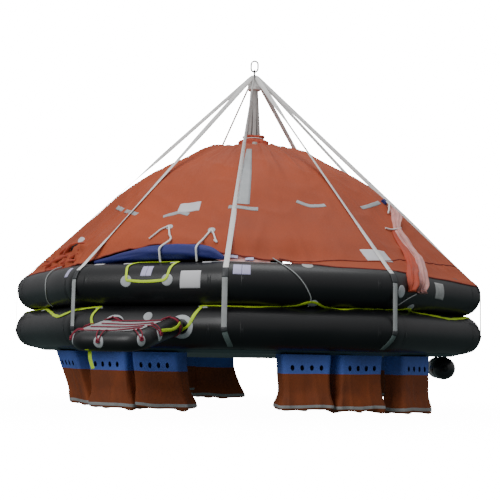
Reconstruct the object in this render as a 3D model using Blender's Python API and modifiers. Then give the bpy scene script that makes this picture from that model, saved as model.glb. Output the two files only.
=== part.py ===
"""Davit-launched inflatable life raft for 37 people, hanging from its lifting link.

Metres, +Z up. The origin is where the davit's hook bears in the lifting link, and the raft
hangs below it. The raft is ten-sided. Its front is towards -Y, and an azimuth of 0 degrees
points there and grows towards +X. A corner of the raft, with a lifting strap, lies at every
36 degrees from azimuth 0, and a bay is the straight side between two corners.

Heights are given above the seam between the two buoyancy tubes, so that a height is read as
it would be measured on the raft. at_height() turns one into a Z of the part.
"""

import math

import bmesh
import bpy
from mathutils import Vector

# Buoyancy: two stacked tubes round a ten-sided floor.
SIDES = 10
BAY = math.tau / SIDES
HALF_BAY = BAY / 2
TUBE_R = 0.200
RING_R = 2.400  # tube centre line, at a corner
TUBE_FACETS = 20
SEAT = 0.0003  # gap that pieces lying on each other keep

# Heights above the seam between the tubes.
HOOK_H = 2.970  # where the hook bears, the part's origin
PIN_H = 2.765
HEAD_TOP_H = 2.720
STRAP_TOP_H = 2.700
HEAD_FOOT_H = 2.620
CROWN_H = 1.880  # rim of the canopy's flat top
KNEE_H = 1.505
TUBE_TOP_H = 2 * TUBE_R
FLOOR_TOP_H = -2 * TUBE_R - SEAT
FLOOR_RIM_H = FLOOR_TOP_H - 0.030
FLOOR_SAG_H = FLOOR_TOP_H - 0.075
FLOOR_R = 2.470
FLOOR_FLAT_R = 1.740  # inner edge of the rim's flat underside
FLOOR_SAG_R = 1.200
BAG_FOOT_H = -0.940

# Canopy, as radii at a corner.
EAVE_R = 2.407
KNEE_R = 1.300
CROWN_R = 0.580
CLOTH = 0.010
KNEE_IN_SHARE = 0.62  # inner knee's inset, as a share of the wall's level thickness
CROWN_RISE = 0.022  # from the rim of the flat top to the hatch
HATCH_R = 0.105  # hole for the inner lifting straps
LAMP_R = 0.030
LAMP_TALL = 0.060
LAMP_OUT = 0.270
LAMP_AZIMUTH = 0.15
COLLAR_PROFILE = (  # radius, height above the crown
    (0.092, 0.165),
    (0.122, 0.160),
    (0.128, 0.100),
    (0.155, 0.080),
    (0.182, 0.030),
    (0.190, 0.0),
    (0.100, 0.0),
)

# Lifting straps.
WEB_W = 0.045
WEB_T = 0.006
HEAD_APOTHEM = 0.0731
HEAD_TOP_PROFILE = (  # radius, height from the pin
    (0.0, 0.020),
    (0.020, 0.016),
    (0.027, -0.010),
)
HEAD_BEVEL = 0.010
HEAD_FOOT_R = 0.052
HEAD_CHEEK = 0.0165  # half thickness of the head between the shackle's ears
STRAP_IN_R = 0.0756
BUNDLE_R = 0.060  # bundle of inner straps, in the cabin
BUNDLE_WIDE_R = 0.084  # and above the crown
BUNDLE_TOP_R = 0.046
BUNDLE_WIDE_H = CROWN_H + 0.190
BUNDLE_NARROW_H = 0.600

# Doorways: the canopy's free lower edge, lifted above the eave along a bay.
FRONT_BAY = -1
REAR_BAY = FRONT_BAY + SIDES // 2
DOOR_LIFTS = {  # for each bay: share of the bay's length from its first corner, lift
    FRONT_BAY - 1: ((0.0, 0.0), (0.5, 0.0), (1.0, 0.03)),
    FRONT_BAY: ((0.0, 0.03), (0.25, 0.14), (0.5, 0.17), (0.75, 0.165), (1.0, 0.07)),
    FRONT_BAY + 1: ((0.0, 0.07), (0.25, 0.03), (0.5, 0.0), (1.0, 0.0)),
    REAR_BAY: (
        (0.0, 0.0),
        (0.12, 0.0),
        (0.24, 0.48),
        (0.5, 0.56),
        (0.76, 0.48),
        (0.88, 0.0),
        (1.0, 0.0),
    ),
}
WHOLE_BAY = ((0.0, 0.0), (0.5, 0.0), (1.0, 0.0))
REAR_ROLL = (  # azimuth in degrees from the doorway's middle, radius of the rolled door
    (-11.0, 0.030),
    (-9.5, 0.046),
    (-5.0, 0.050),
    (0.0, 0.052),
    (5.0, 0.050),
    (9.5, 0.046),
    (11.0, 0.030),
)
FRONT_ROLL = (
    (-17.0, 0.012),
    (-13.0, 0.030),
    (-8.0, 0.050),
    (-2.0, 0.064),
    (4.0, 0.066),
    (8.5, 0.054),
    (12.0, 0.036),
    (15.0, 0.014),
)
ROLL_INBOARD = 0.030  # where the roll lies, inwards of the upper tube's crest

# Gathered sleeve that hangs from a port in the canopy: azimuth, height and radius.
SLEEVE_ON_CANOPY = (
    (56.0, 1.100, 0.034),
    (53.0, 0.990, 0.048),
    (49.5, 0.860, 0.056),
    (46.5, 0.740, 0.050),
    (43.5, 0.620, 0.060),
    (41.5, 0.530, 0.066),
)
SLEEVE_ON_TUBE = (  # angle round the upper tube from its outermost line, radius
    (54.0, 0.068),
    (36.0, 0.072),
    (18.0, 0.076),
    (0.0, 0.078),
    (-12.0, 0.078),
)
SLEEVE_TUBE_AZIMUTH = 40.0
SLEEVE_FLAT = 0.0002  # what the flat facets of the sleeve leave of its radius

# Ballast bags, in four groups. Azimuths in degrees, mirrored front to back and side to side.
BAG_AZIMUTHS = (18.6, 33.2, 52.3)
BAG_OUT = 2.120
BAG_SECTIONS = (  # height, width round the raft, depth, corner chamfer
    (FLOOR_RIM_H - SEAT, 0.496, 0.250, 0.020),
    (-0.590, 0.480, 0.260, 0.040),
    (-0.770, 0.470, 0.260, 0.050),
    (-0.900, 0.490, 0.270, 0.040),
    (BAG_FOOT_H, 0.470, 0.230, 0.050),
)

# Boarding ramp, in the front doorway's bay.
RAMP_R = 0.085
RAMP_HALF_W = 0.295  # centre lines of the two arms from the ramp's middle
RAMP_LENGTH = 0.660  # arm's end to the outer bar's centre line
RAMP_DIP = math.radians(13)
RAMP_CORNER_R = 0.110
RAMP_DOME = ((-0.0822, 0.0226), (-0.0660, 0.0540), (-0.0360, 0.0771))  # along the arm, radius
RAMP_HINGE_R = (RING_R + TUBE_R) * math.cos(HALF_BAY) + RAMP_R + 2 * SEAT
RAMP_HINGE_H = -0.200
RAMP_AZIMUTH = (FRONT_BAY + 0.5) * BAY
RAMP_ALONG = 0.050  # ramp's middle from the bay's middle
RAMP_DECK_START = 0.060
RAMP_DECK_T = 0.008

# Gas cylinder, slung below the floor at one side.
GAS_R = 0.120
GAS_LENGTH = 0.950
GAS_OUT = 2.140
GAS_DOME = ((0.0, 0.0), (0.060, 0.012), (0.104, 0.038), (GAS_R, 0.080))  # radius, from its end

# Canopy arches, inside.
ARCH_R = 0.085
ARCH_Y = 0.330
ARCH_PATH = (  # distance from the middle, height of the arch's centre line
    (2.1586, 0.3524),
    (1.856, 0.716),
    (1.600, 0.966),
    (1.300, 1.250),
    (1.000, 1.455),
    (0.700, 1.600),
    (0.400, 1.710),
)

# Lifeline round the lower tube's shoulder.
LINE_R = 0.009
LINE_GAP = 0.0015
LINE_ANCHORS = (-7, 25, 40, 66, 96, 126, 152, 173, 205, 220, 246, 276, 307, 328, 353)
LINE_TOP = math.radians(27)  # angle from the lower tube's crest at an anchor
LINE_SAG = math.radians(42)  # and half way between two anchors
LINE_STEPS = 6  # stretches between two anchors

# Lifting link, shackle and pin.
LINK_R = 0.010
LINK_HALF_W = 0.040
LINK_DROP = 0.130
BOW_R = 0.009
BOW_HALF_W = 0.028
EAR_R = 0.017
EAR_T = 0.018
PIN_R = 0.0080
PIN_LENGTH = 0.096
PIN_FIT = 0.0003
CUTTER = 0.200  # size of the cutters at the pin

raft = bpy.data.collections.new("life_raft")
cutters = bpy.data.collections.new("cutters")


def at_height(height):
    return height - HOOK_H


def polar(azimuth, radius, height):
    """A point at an azimuth in radians, a true distance from the axis and a height."""
    return Vector(
        (radius * math.sin(azimuth), -radius * math.cos(azimuth), at_height(height))
    )


def on_decagon(azimuth, corner_radius, height):
    """A point at an azimuth, on the ten-sided ring whose corners have that radius."""
    from_middle = (azimuth % BAY) - HALF_BAY
    return polar(
        azimuth, corner_radius * math.cos(HALF_BAY) / math.cos(from_middle), height
    )


def finish(name, colour, roughness, metallic=0.0):
    material = bpy.data.materials.new(name)
    material.use_nodes = True
    shader = material.node_tree.nodes["Principled BSDF"]
    shader.inputs["Base Color"].default_value = (*colour, 1)
    shader.inputs["Roughness"].default_value = roughness
    shader.inputs["Metallic"].default_value = metallic
    return material


def place(obj, material, collection=None, flat=False):
    """Puts an object in the raft's collection, or in another, with its material."""
    for old in list(obj.users_collection):
        old.objects.unlink(obj)
    (collection or raft).objects.link(obj)
    obj.data.materials.clear()
    obj.data.materials.append(material)
    if obj.type == "MESH" and not flat:
        obj.data.shade_smooth()
        obj.data.set_sharp_from_angle(angle=math.radians(35))
    return obj


def mesh_object(name, bm, material, collection=None, flat=False):
    mesh = bpy.data.meshes.new(name)
    bmesh.ops.recalc_face_normals(bm, faces=bm.faces)
    bm.to_mesh(mesh)
    bm.free()
    return place(bpy.data.objects.new(name, mesh), material, collection, flat)


def loft(name, sections, material, flat=False):
    """A closed solid through sections of as many points each, capped at both ends."""
    bm = bmesh.new()
    rings = [[bm.verts.new(point) for point in section] for section in sections]
    count = len(rings[0])
    for first, second in zip(rings, rings[1:]):
        for i in range(count):
            j = (i + 1) % count
            bm.faces.new((first[i], first[j], second[j], second[i]))
    bm.faces.new(reversed(rings[0]))
    bm.faces.new(rings[-1])
    return mesh_object(name, bm, material, flat=flat)


def turned(name, profile, material, steps, turn=0.0):
    """A closed profile of (radius, height) turned about the axis. It runs down its outer side."""
    mesh = bpy.data.meshes.new(name)
    points = [(radius, 0, at_height(height)) for radius, height in profile]
    edges = [(i, (i + 1) % len(points)) for i in range(len(points))]
    if profile[0][0] == 0 and profile[-1][0] == 0:
        edges.pop()
    mesh.from_pydata(points, edges, [])
    obj = place(bpy.data.objects.new(name, mesh), material, flat=True)
    obj.rotation_euler.z = turn
    screw = obj.modifiers.new("turn", "SCREW")
    screw.steps = screw.render_steps = steps
    screw.use_merge_vertices = True
    screw.merge_threshold = 0.00005
    return obj


def wire(name, points, radius, material, sides=2, radii=None, cyclic=False):
    """A round bar, tube or rope along straight stretches between points."""
    curve = bpy.data.curves.new(name, "CURVE")
    curve.dimensions = "3D"
    curve.bevel_depth = radius
    curve.bevel_resolution = sides
    curve.use_fill_caps = True
    spline = curve.splines.new("POLY")
    spline.points.add(len(points) - 1)
    spline.use_cyclic_u = cyclic
    for i, point in enumerate(points):
        spline.points[i].co = (*point, 1)
        spline.points[i].radius = radii[i] / radius if radii else 1
    return place(bpy.data.objects.new(name, curve), material)


def as_mesh(obj):
    """Replaces a curve object by its mesh, welded, under the same name."""
    bpy.context.view_layer.update()
    graph = bpy.context.evaluated_depsgraph_get()
    mesh = bpy.data.meshes.new_from_object(obj.evaluated_get(graph))
    bm = bmesh.new()
    bm.from_mesh(mesh)
    bmesh.ops.remove_doubles(bm, verts=bm.verts, dist=0.00002)
    bm.to_mesh(mesh)
    bm.free()
    name = obj.name
    made = bpy.data.objects.new(name, mesh)
    made.matrix_world = obj.matrix_world
    for collection in obj.users_collection:
        collection.objects.link(made)
    bpy.data.objects.remove(obj)
    made.name = name
    return made


def rod(name, centre, axis, radius, length, material, sides=16, collection=None):
    """A cylinder about a centre, along an axis."""
    bm = bmesh.new()
    bmesh.ops.create_cone(
        bm,
        cap_ends=True,
        segments=sides,
        radius1=radius,
        radius2=radius,
        depth=length,
        matrix=Vector(axis).to_track_quat("Z", "Y").to_matrix().to_4x4(),
    )
    bmesh.ops.translate(bm, verts=bm.verts, vec=centre)
    return mesh_object(name, bm, material, collection)


def boolean(obj, other, operation):
    modifier = obj.modifiers.new(operation.lower(), "BOOLEAN")
    modifier.operation = operation
    modifier.object = other
    other.hide_render = True
    other.display_type = "WIRE"


def arc(centre, radius, start, end, steps):
    """Points (x, y) on a circle from one angle to another."""
    turn = (end - start) / steps
    return [
        (
            centre[0] + radius * math.cos(start + i * turn),
            centre[1] + radius * math.sin(start + i * turn),
        )
        for i in range(steps + 1)
    ]


def buoyancy_tube(name, height, material):
    """A torus of ten straight bays. Its cross-section at a corner is round."""
    bpy.ops.mesh.primitive_torus_add(
        major_radius=RING_R,
        minor_radius=TUBE_R,
        major_segments=SIDES,
        minor_segments=TUBE_FACETS,
        location=(0, 0, at_height(height)),
        rotation=(0, 0, HALF_BAY),
    )
    tube = bpy.context.object
    tube.name = name
    return place(tube, material)


def floor_panel(material):
    return turned(
        "floor",
        (
            (0.0, FLOOR_TOP_H),
            (FLOOR_R, FLOOR_TOP_H),
            (FLOOR_R, FLOOR_RIM_H),
            (FLOOR_FLAT_R, FLOOR_RIM_H),
            (FLOOR_SAG_R, FLOOR_SAG_H),
            (0.0, FLOOR_SAG_H),
        ),
        material,
        SIDES,
        turn=math.pi / 2,
    )


def gore_section(azimuth, lift, side=0):
    """The canopy's wall in one upright plane: eave, knee and crown, outside then inside.

    A side of 1 or -1 leaves half the gap to the next gore, on that side of the plane.
    """
    slope = (KNEE_H - TUBE_TOP_H) / (EAVE_R - KNEE_R)
    eave_h = TUBE_TOP_H + SEAT + lift
    eave_r = EAVE_R - lift / slope
    down = CLOTH / math.cos(math.atan(slope)) * slope  # the wall's thickness, measured upright
    inward = down / slope
    roof = (CROWN_H - KNEE_H) / (KNEE_R - CROWN_R)
    roof_down = CLOTH / math.cos(math.atan(roof))
    knee_in = inward * KNEE_IN_SHARE
    outline = (
        (eave_r, eave_h),
        (KNEE_R, KNEE_H),
        (CROWN_R, CROWN_H),
        (CROWN_R, CROWN_H - roof_down),
        (KNEE_R - knee_in, KNEE_H - roof_down + knee_in * roof),
        (eave_r - inward, eave_h),
    )
    return [
        on_decagon(azimuth + side * SEAT / 2 / radius, radius, height)
        for radius, height in outline
    ]


def canopy(material):
    """Ten gores, whose lower edges are lifted at the two doorways."""
    lifts = {bay % SIDES: stations for bay, stations in DOOR_LIFTS.items()}
    for bay in range(SIDES):
        sections = []
        for share, lift in lifts.get(bay, WHOLE_BAY):
            side = {0.0: 1, 1.0: -1}.get(share, 0)
            sections.append(gore_section((bay + share) * BAY, lift, side))
        loft(f"canopy_gore_{bay + 1:02d}", sections, material, flat=True)


def crown(material):
    """The canopy's flat top, with the hatch that the inner straps pass through."""
    inner_h = CROWN_H + CROWN_RISE
    rim_r = CROWN_R - 1.5 * SEAT
    turned(
        "canopy_crown",
        (
            (HATCH_R, inner_h),
            (rim_r, CROWN_H),
            (rim_r, CROWN_H - CLOTH),
            (HATCH_R, inner_h - CLOTH),
        ),
        material,
        SIDES,
        turn=math.pi / 2,
    )


def collar(material):
    """The gathered sleeve at the hatch, tied round the inner straps."""
    foot_h = CROWN_H + CROWN_RISE + SEAT
    profile = [(radius, foot_h + rise) for radius, rise in COLLAR_PROFILE]
    turned("canopy_collar", profile, material, 16)


def lamp(material):
    rise = CROWN_RISE * (CROWN_R - LAMP_OUT + LAMP_R) / (CROWN_R - HATCH_R)
    centre = polar(LAMP_AZIMUTH, LAMP_OUT, CROWN_H + rise + LAMP_TALL / 2)
    rod("canopy_lamp", centre, (0, 0, 1), LAMP_R, LAMP_TALL, material)


def strap_path():
    """The line of a lifting strap in its corner's plane, bent where the tubes' facets meet."""
    facet = math.tau / TUBE_FACETS
    reach = TUBE_R + (SEAT + WEB_T / 2) / math.cos(facet / 2)
    path = [(STRAP_IN_R, STRAP_TOP_H)]
    path += arc((RING_R, TUBE_R), reach, 3 * facet, 0, 3)
    path += arc((RING_R, -TUBE_R), reach, 0, -3 * facet, 3)
    return path


def offset(path, distance):
    """A line beside a path of (x, y), to its left, mitred at the path's bends."""
    made = []
    for i, point in enumerate(path):
        normals = []
        for j in (i - 1, i):
            if 0 <= j < len(path) - 1:
                along = (Vector(path[j + 1]) - Vector(path[j])).normalized()
                normals.append(Vector((-along.y, along.x)))
        middle = (normals[0] + normals[-1]).normalized()
        made.append(tuple(Vector(point) + middle * (distance / middle.dot(normals[0]))))
    return made


def straps(material):
    """A flat webbing at each corner, from the head over both tubes."""
    path = strap_path()
    outline = offset(path, WEB_T / 2) + list(reversed(offset(path, -WEB_T / 2)))
    for corner in range(SIDES):
        name = f"lifting_strap_{corner + 1:02d}"
        curve = bpy.data.curves.new(name, "CURVE")
        curve.dimensions = "2D"
        curve.fill_mode = "BOTH"
        curve.extrude = WEB_W / 2
        spline = curve.splines.new("POLY")
        spline.points.add(len(outline) - 1)
        spline.use_cyclic_u = True
        for i, (radius, height) in enumerate(outline):
            spline.points[i].co = (radius, at_height(height), 0, 1)
        obj = place(bpy.data.objects.new(name, curve), material)
        obj.rotation_euler = (math.pi / 2, 0, corner * BAY - math.pi / 2)


def strap_head(material):
    """The sewn head that all straps run into, with the eye for the shackle's pin."""
    corner_r = HEAD_APOTHEM / math.cos(HALF_BAY)
    profile = [(radius, PIN_H + rise) for radius, rise in HEAD_TOP_PROFILE]
    profile += [
        (corner_r, HEAD_TOP_H - HEAD_BEVEL),
        (corner_r, HEAD_FOOT_H + HEAD_BEVEL),
        (HEAD_FOOT_R, HEAD_FOOT_H),
        (0.0, HEAD_FOOT_H),
    ]
    block = turned("strap_head", profile, material, SIDES, turn=math.pi / 2 + HALF_BAY)
    cheeks = []
    for side in (-1, 1):
        centre = (0, side * (HEAD_CHEEK + CUTTER / 2), at_height(PIN_H))
        cheeks.append(box(f"head_cheek_{side}", (CUTTER, CUTTER, CUTTER), centre, material))
    for cheek in cheeks:
        boolean(block, cheek, "DIFFERENCE")
    eye = rod(
        "head_eye",
        (0, 0, at_height(PIN_H)),
        (0, 1, 0),
        PIN_R + PIN_FIT,
        CUTTER,
        material,
        collection=cutters,
    )
    boolean(block, eye, "DIFFERENCE")


def box(name, size, centre, material):
    """A cutter."""
    bm = bmesh.new()
    bmesh.ops.create_cube(bm, size=1)
    bmesh.ops.scale(bm, vec=size, verts=bm.verts)
    bmesh.ops.translate(bm, vec=centre, verts=bm.verts)
    return mesh_object(name, bm, material, cutters, flat=True)


def inner_straps(material):
    """The bundle of inner straps, from the head through the hatch to the middle of the floor."""
    turned(
        "inner_strap_bundle",
        (
            (0.0, HEAD_FOOT_H - SEAT),
            (BUNDLE_TOP_R, HEAD_FOOT_H - SEAT),
            (BUNDLE_WIDE_R, BUNDLE_WIDE_H),
            (BUNDLE_WIDE_R, CROWN_H),
            (BUNDLE_R, BUNDLE_NARROW_H),
            (BUNDLE_R, FLOOR_TOP_H + SEAT),
            (0.0, FLOOR_TOP_H + SEAT),
        ),
        material,
        12,
    )


def lifting_gear(material):
    """The link that takes the hook, the bow shackle in it, and the shackle's pin."""
    top = at_height(HOOK_H) + LINK_R
    sides = [(0, top - LINK_HALF_W), (0, top - LINK_DROP + LINK_HALF_W)]
    outline = arc(sides[0], LINK_HALF_W, 0, math.pi, 8)
    outline += arc(sides[1], LINK_HALF_W, math.pi, math.tau, 8)
    wire("lifting_link", [(x, 0, z) for x, z in outline], LINK_R, material, cyclic=True)

    crest = top - LINK_DROP + LINK_R + BOW_R + SEAT
    pin_z = at_height(PIN_H)
    bend = arc((0, crest - BOW_HALF_W), BOW_HALF_W, 0, math.pi, 8)
    path = [(BOW_HALF_W, pin_z)] + bend + [(-BOW_HALF_W, pin_z)]
    bow = as_mesh(wire("bow_shackle", [(0, y, z) for y, z in path], BOW_R, material))
    for side in (-1, 1):
        ear = rod(
            f"shackle_ear_{side}",
            (0, side * BOW_HALF_W, pin_z),
            (0, 1, 0),
            EAR_R,
            EAR_T,
            material,
            collection=cutters,
        )
        boolean(bow, ear, "UNION")
    hole = rod(
        "shackle_hole",
        (0, 0, pin_z),
        (0, 1, 0),
        PIN_R + PIN_FIT,
        CUTTER,
        material,
        collection=cutters,
    )
    boolean(bow, hole, "DIFFERENCE")
    rod("shackle_pin", (0, 0, pin_z), (0, 1, 0), PIN_R, PIN_LENGTH, material)


def roll_centre(azimuth, radius):
    """Where a roll of that radius rests, just inside the upper tube's crest."""
    facet = math.tau / TUBE_FACETS
    lean = facet / 2  # the slope of the tube's facet inside its crest
    rest_r = RING_R - ROLL_INBOARD * math.cos(lean)
    rest_h = TUBE_TOP_H - ROLL_INBOARD * math.sin(lean)
    gap = radius + 0.0006
    return on_decagon(
        azimuth, rest_r - gap * math.sin(lean), rest_h + gap * math.cos(lean)
    )


def door_rolls(material):
    """The rolled inner door that lies on the sill of each doorway."""
    for name, bay, roll in (("front", FRONT_BAY, FRONT_ROLL), ("rear", REAR_BAY, REAR_ROLL)):
        middle = (bay + 0.5) * BAY
        points = [roll_centre(middle + math.radians(azimuth), radius) for azimuth, radius in roll]
        radii = [radius for _, radius in roll]
        wire(f"door_roll_{name}", points, max(radii), material, sides=3, radii=radii)


def on_canopy(azimuth, height, above):
    """A point over the canopy's lower wall, that far out along the wall's normal."""
    slope = (KNEE_H - TUBE_TOP_H) / (EAVE_R - KNEE_R)
    corner_r = EAVE_R - (height - TUBE_TOP_H - SEAT) / slope
    middle = (math.floor(azimuth / BAY) + 0.5) * BAY
    wall = math.atan(slope / math.cos(HALF_BAY))
    outwards = Vector(
        (
            math.sin(middle) * math.sin(wall),
            -math.cos(middle) * math.sin(wall),
            math.cos(wall),
        )
    )
    return on_decagon(azimuth, corner_r, height) + outwards * above


def sleeve(material):
    points = [
        on_canopy(math.radians(azimuth), height, radius - SLEEVE_FLAT)
        for azimuth, height, radius in SLEEVE_ON_CANOPY
    ]
    radii = [radius for _, _, radius in SLEEVE_ON_CANOPY]
    for angle, radius in SLEEVE_ON_TUBE:
        reach = (TUBE_R + radius + 0.001) / math.cos(math.pi / TUBE_FACETS)
        turn = math.radians(angle)
        points.append(
            on_decagon(
                math.radians(SLEEVE_TUBE_AZIMUTH),
                RING_R + reach * math.cos(turn),
                TUBE_R + reach * math.sin(turn),
            )
        )
        radii.append(radius)
    wire("port_sleeve", points, max(radii), material, sides=3, radii=radii)


def bags(material):
    """Ballast bags below the rim of the floor. Their widest side faces out."""
    azimuths = []
    for azimuth in BAG_AZIMUTHS:
        azimuths += [azimuth, 180 - azimuth, 180 + azimuth, 360 - azimuth]
    for number, azimuth in enumerate(sorted(azimuths), 1):
        turn = math.radians(azimuth)
        sideways = Vector((math.cos(turn), math.sin(turn), 0))
        outwards = Vector((math.sin(turn), -math.cos(turn), 0))
        sections = []
        for height, width, depth, chamfer in BAG_SECTIONS:
            x, y = width / 2, depth / 2
            loop = (
                (x, y - chamfer),
                (x - chamfer, y),
                (chamfer - x, y),
                (-x, y - chamfer),
                (-x, chamfer - y),
                (chamfer - x, -y),
                (x - chamfer, -y),
                (x, chamfer - y),
            )
            centre = polar(turn, BAG_OUT, height)
            sections.append([centre + sideways * u + outwards * v for u, v in loop])
        loft(f"ballast_bag_{number:02d}", sections, material)


def boarding_ramp(tube_material, deck_material):
    """A U of tube with a webbing deck. It turns about the centre of its arms' round ends."""
    hinge = bpy.data.objects.new("ramp_hinge", None)
    raft.objects.link(hinge)
    sideways = Vector((math.cos(RAMP_AZIMUTH), math.sin(RAMP_AZIMUTH), 0))
    hinge.location = polar(RAMP_AZIMUTH, RAMP_HINGE_R, RAMP_HINGE_H) + sideways * RAMP_ALONG
    hinge.rotation_euler = (RAMP_DIP, 0, RAMP_AZIMUTH)

    corner = (RAMP_HALF_W - RAMP_CORNER_R, RAMP_LENGTH - RAMP_CORNER_R)
    arm = [(out, radius) for out, radius in RAMP_DOME] + [(0.0, RAMP_R)]
    path = [(RAMP_HALF_W, out) for out, _ in arm]
    path += arc(corner, RAMP_CORNER_R, 0, math.pi / 2, 4)
    path += arc((-corner[0], corner[1]), RAMP_CORNER_R, math.pi / 2, math.pi, 4)
    path += [(-RAMP_HALF_W, out) for out, _ in reversed(arm)]
    ends = [radius for _, radius in arm]
    radii = ends + [RAMP_R] * (len(path) - 2 * len(ends)) + list(reversed(ends))
    points = [(along, -out, 0) for along, out in path]
    tube = wire("ramp_tube", points, RAMP_R, tube_material, sides=4, radii=radii)
    tube.parent = hinge

    low = RAMP_R + SEAT
    loop = (
        (-RAMP_HALF_W, -RAMP_DECK_START),
        (RAMP_HALF_W, -RAMP_DECK_START),
        (RAMP_HALF_W, -RAMP_LENGTH),
        (-RAMP_HALF_W, -RAMP_LENGTH),
    )
    sections = [[(x, y, z) for x, y in loop] for z in (low, low + RAMP_DECK_T)]
    deck = loft("ramp_deck", sections, deck_material, flat=True)
    deck.parent = hinge


def gas_cylinder(material):
    """A cylinder with domed ends, slung below the floor along a side bay."""
    end = GAS_LENGTH / 2
    profile = [(radius, end - inset) for radius, inset in GAS_DOME]
    profile += [(radius, inset - end) for radius, inset in reversed(GAS_DOME)]
    bottle = turned(
        "gas_cylinder",
        [(radius, height + HOOK_H) for radius, height in profile],
        material,
        16,
    )
    bottle.rotation_euler = (math.pi / 2, 0, 0)
    bottle.location = (GAS_OUT, 0, at_height(FLOOR_RIM_H - SEAT - GAS_R))


def arches(material):
    """Two inflated arches side by side, standing on the side bays of the upper tube."""
    half = list(ARCH_PATH)
    mirrored = [(-x, height) for x, height in reversed(half)]
    for name, y in (("front", -ARCH_Y), ("rear", ARCH_Y)):
        points = [(x, y, at_height(height)) for x, height in half + mirrored]
        wire(f"canopy_arch_{name}", points, ARCH_R, material, sides=2)


def facet_reach(turn):
    """From a tube's centre line to its facets, at an angle round it."""
    facet = math.tau / TUBE_FACETS
    return TUBE_R * math.cos(facet / 2) / math.cos(turn % facet - facet / 2)


def lifeline(material):
    """The grab line that lies on the lower tube's shoulder, looped from patch to patch."""
    stops = []
    for first, second in zip(LINE_ANCHORS, LINE_ANCHORS[1:]):
        azimuths = {first + (second - first) * step / LINE_STEPS for step in range(LINE_STEPS)}
        azimuths |= {corner for corner in range(0, 360, 36) if first < corner < second}
        for azimuth in sorted(azimuths):
            share = (azimuth - first) / (second - first)
            sag = math.sin(math.pi * share)
            turn = LINE_TOP + (LINE_SAG - LINE_TOP) * sag
            gap = LINE_GAP if share else SEAT
            stops.append((azimuth, turn, facet_reach(turn) + LINE_R + gap))
    points = [
        on_decagon(
            math.radians(azimuth),
            RING_R + reach * math.sin(turn),
            -TUBE_R + reach * math.cos(turn),
        )
        for azimuth, turn, reach in stops
    ]
    wire("lifeline", points, LINE_R, material, cyclic=True)


for old in list(bpy.data.objects):
    bpy.data.objects.remove(old)
bpy.context.scene.collection.children.link(raft)
bpy.context.scene.collection.children.link(cutters)
cutters.hide_render = True

black_rubber = finish("black_rubber", (0.018, 0.019, 0.021), 0.42)
floor_fabric = finish("floor_fabric", (0.030, 0.052, 0.050), 0.60)
orange_fabric = finish("orange_fabric", (0.560, 0.110, 0.028), 0.80)
blue_fabric = finish("blue_fabric", (0.020, 0.035, 0.170), 0.75)
pink_lining = finish("pink_lining", (0.620, 0.270, 0.220), 0.70)
bag_fabric = finish("bag_fabric", (0.230, 0.055, 0.016), 0.80)
white_webbing = finish("white_webbing", (0.620, 0.610, 0.590), 0.75)
yellow_webbing = finish("yellow_webbing", (0.480, 0.740, 0.030), 0.65)
deck_fabric = finish("deck_fabric", (0.420, 0.420, 0.430), 0.70)
steel = finish("steel", (0.130, 0.125, 0.120), 0.40, metallic=0.9)
bottle_black = finish("bottle_black", (0.012, 0.012, 0.013), 0.35)
lamp_plastic = finish("lamp_plastic", (0.500, 0.500, 0.480), 0.30)

buoyancy_tube("upper_tube", TUBE_R + SEAT / 2, black_rubber)
buoyancy_tube("lower_tube", -TUBE_R - SEAT / 2, black_rubber)
floor_panel(floor_fabric)
canopy(orange_fabric)
crown(orange_fabric)
collar(orange_fabric)
lamp(lamp_plastic)
arches(black_rubber)
door_rolls(blue_fabric)
sleeve(pink_lining)
straps(white_webbing)
strap_head(white_webbing)
inner_straps(white_webbing)
lifting_gear(steel)
bags(bag_fabric)
gas_cylinder(bottle_black)
lifeline(yellow_webbing)
boarding_ramp(black_rubber, deck_fabric)
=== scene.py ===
"""Looks of a davit-launched inflatable life raft: camera, light, materials and fabric.

Metres, in the frame of the part. Heights are given above the seam between the two buoyancy
tubes, and azimuths in degrees from the front (-Y), growing to the right (+X).
"""

import math

import bmesh
import bpy
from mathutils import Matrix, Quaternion, Vector, noise


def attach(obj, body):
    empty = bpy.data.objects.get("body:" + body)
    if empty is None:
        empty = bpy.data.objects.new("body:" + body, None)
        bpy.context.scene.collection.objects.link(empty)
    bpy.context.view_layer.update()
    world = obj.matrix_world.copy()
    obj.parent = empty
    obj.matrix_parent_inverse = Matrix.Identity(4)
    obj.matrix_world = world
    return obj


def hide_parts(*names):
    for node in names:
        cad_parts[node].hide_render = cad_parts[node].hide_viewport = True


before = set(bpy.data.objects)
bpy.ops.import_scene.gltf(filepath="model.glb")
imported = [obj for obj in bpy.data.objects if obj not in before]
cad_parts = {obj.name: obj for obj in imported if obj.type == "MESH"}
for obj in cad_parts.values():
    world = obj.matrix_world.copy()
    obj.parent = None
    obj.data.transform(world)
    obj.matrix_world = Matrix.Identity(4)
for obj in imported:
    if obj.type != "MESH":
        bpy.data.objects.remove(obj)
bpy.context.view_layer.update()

# The frame that the source gives.
HOOK_H = 2.970
SIDES = 10
BAY = 36.0
HALF = math.radians(BAY / 2)
RING_R = 2.400
TUBE_R = 0.200
SEAT = 0.0003
PIN_H = 2.765
STRAP_TOP_H = 2.768
HEAD_FOOT_H = 2.620
FLOOR_RIM_H = -0.4303
CROWN_TOP_H = 1.902

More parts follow.
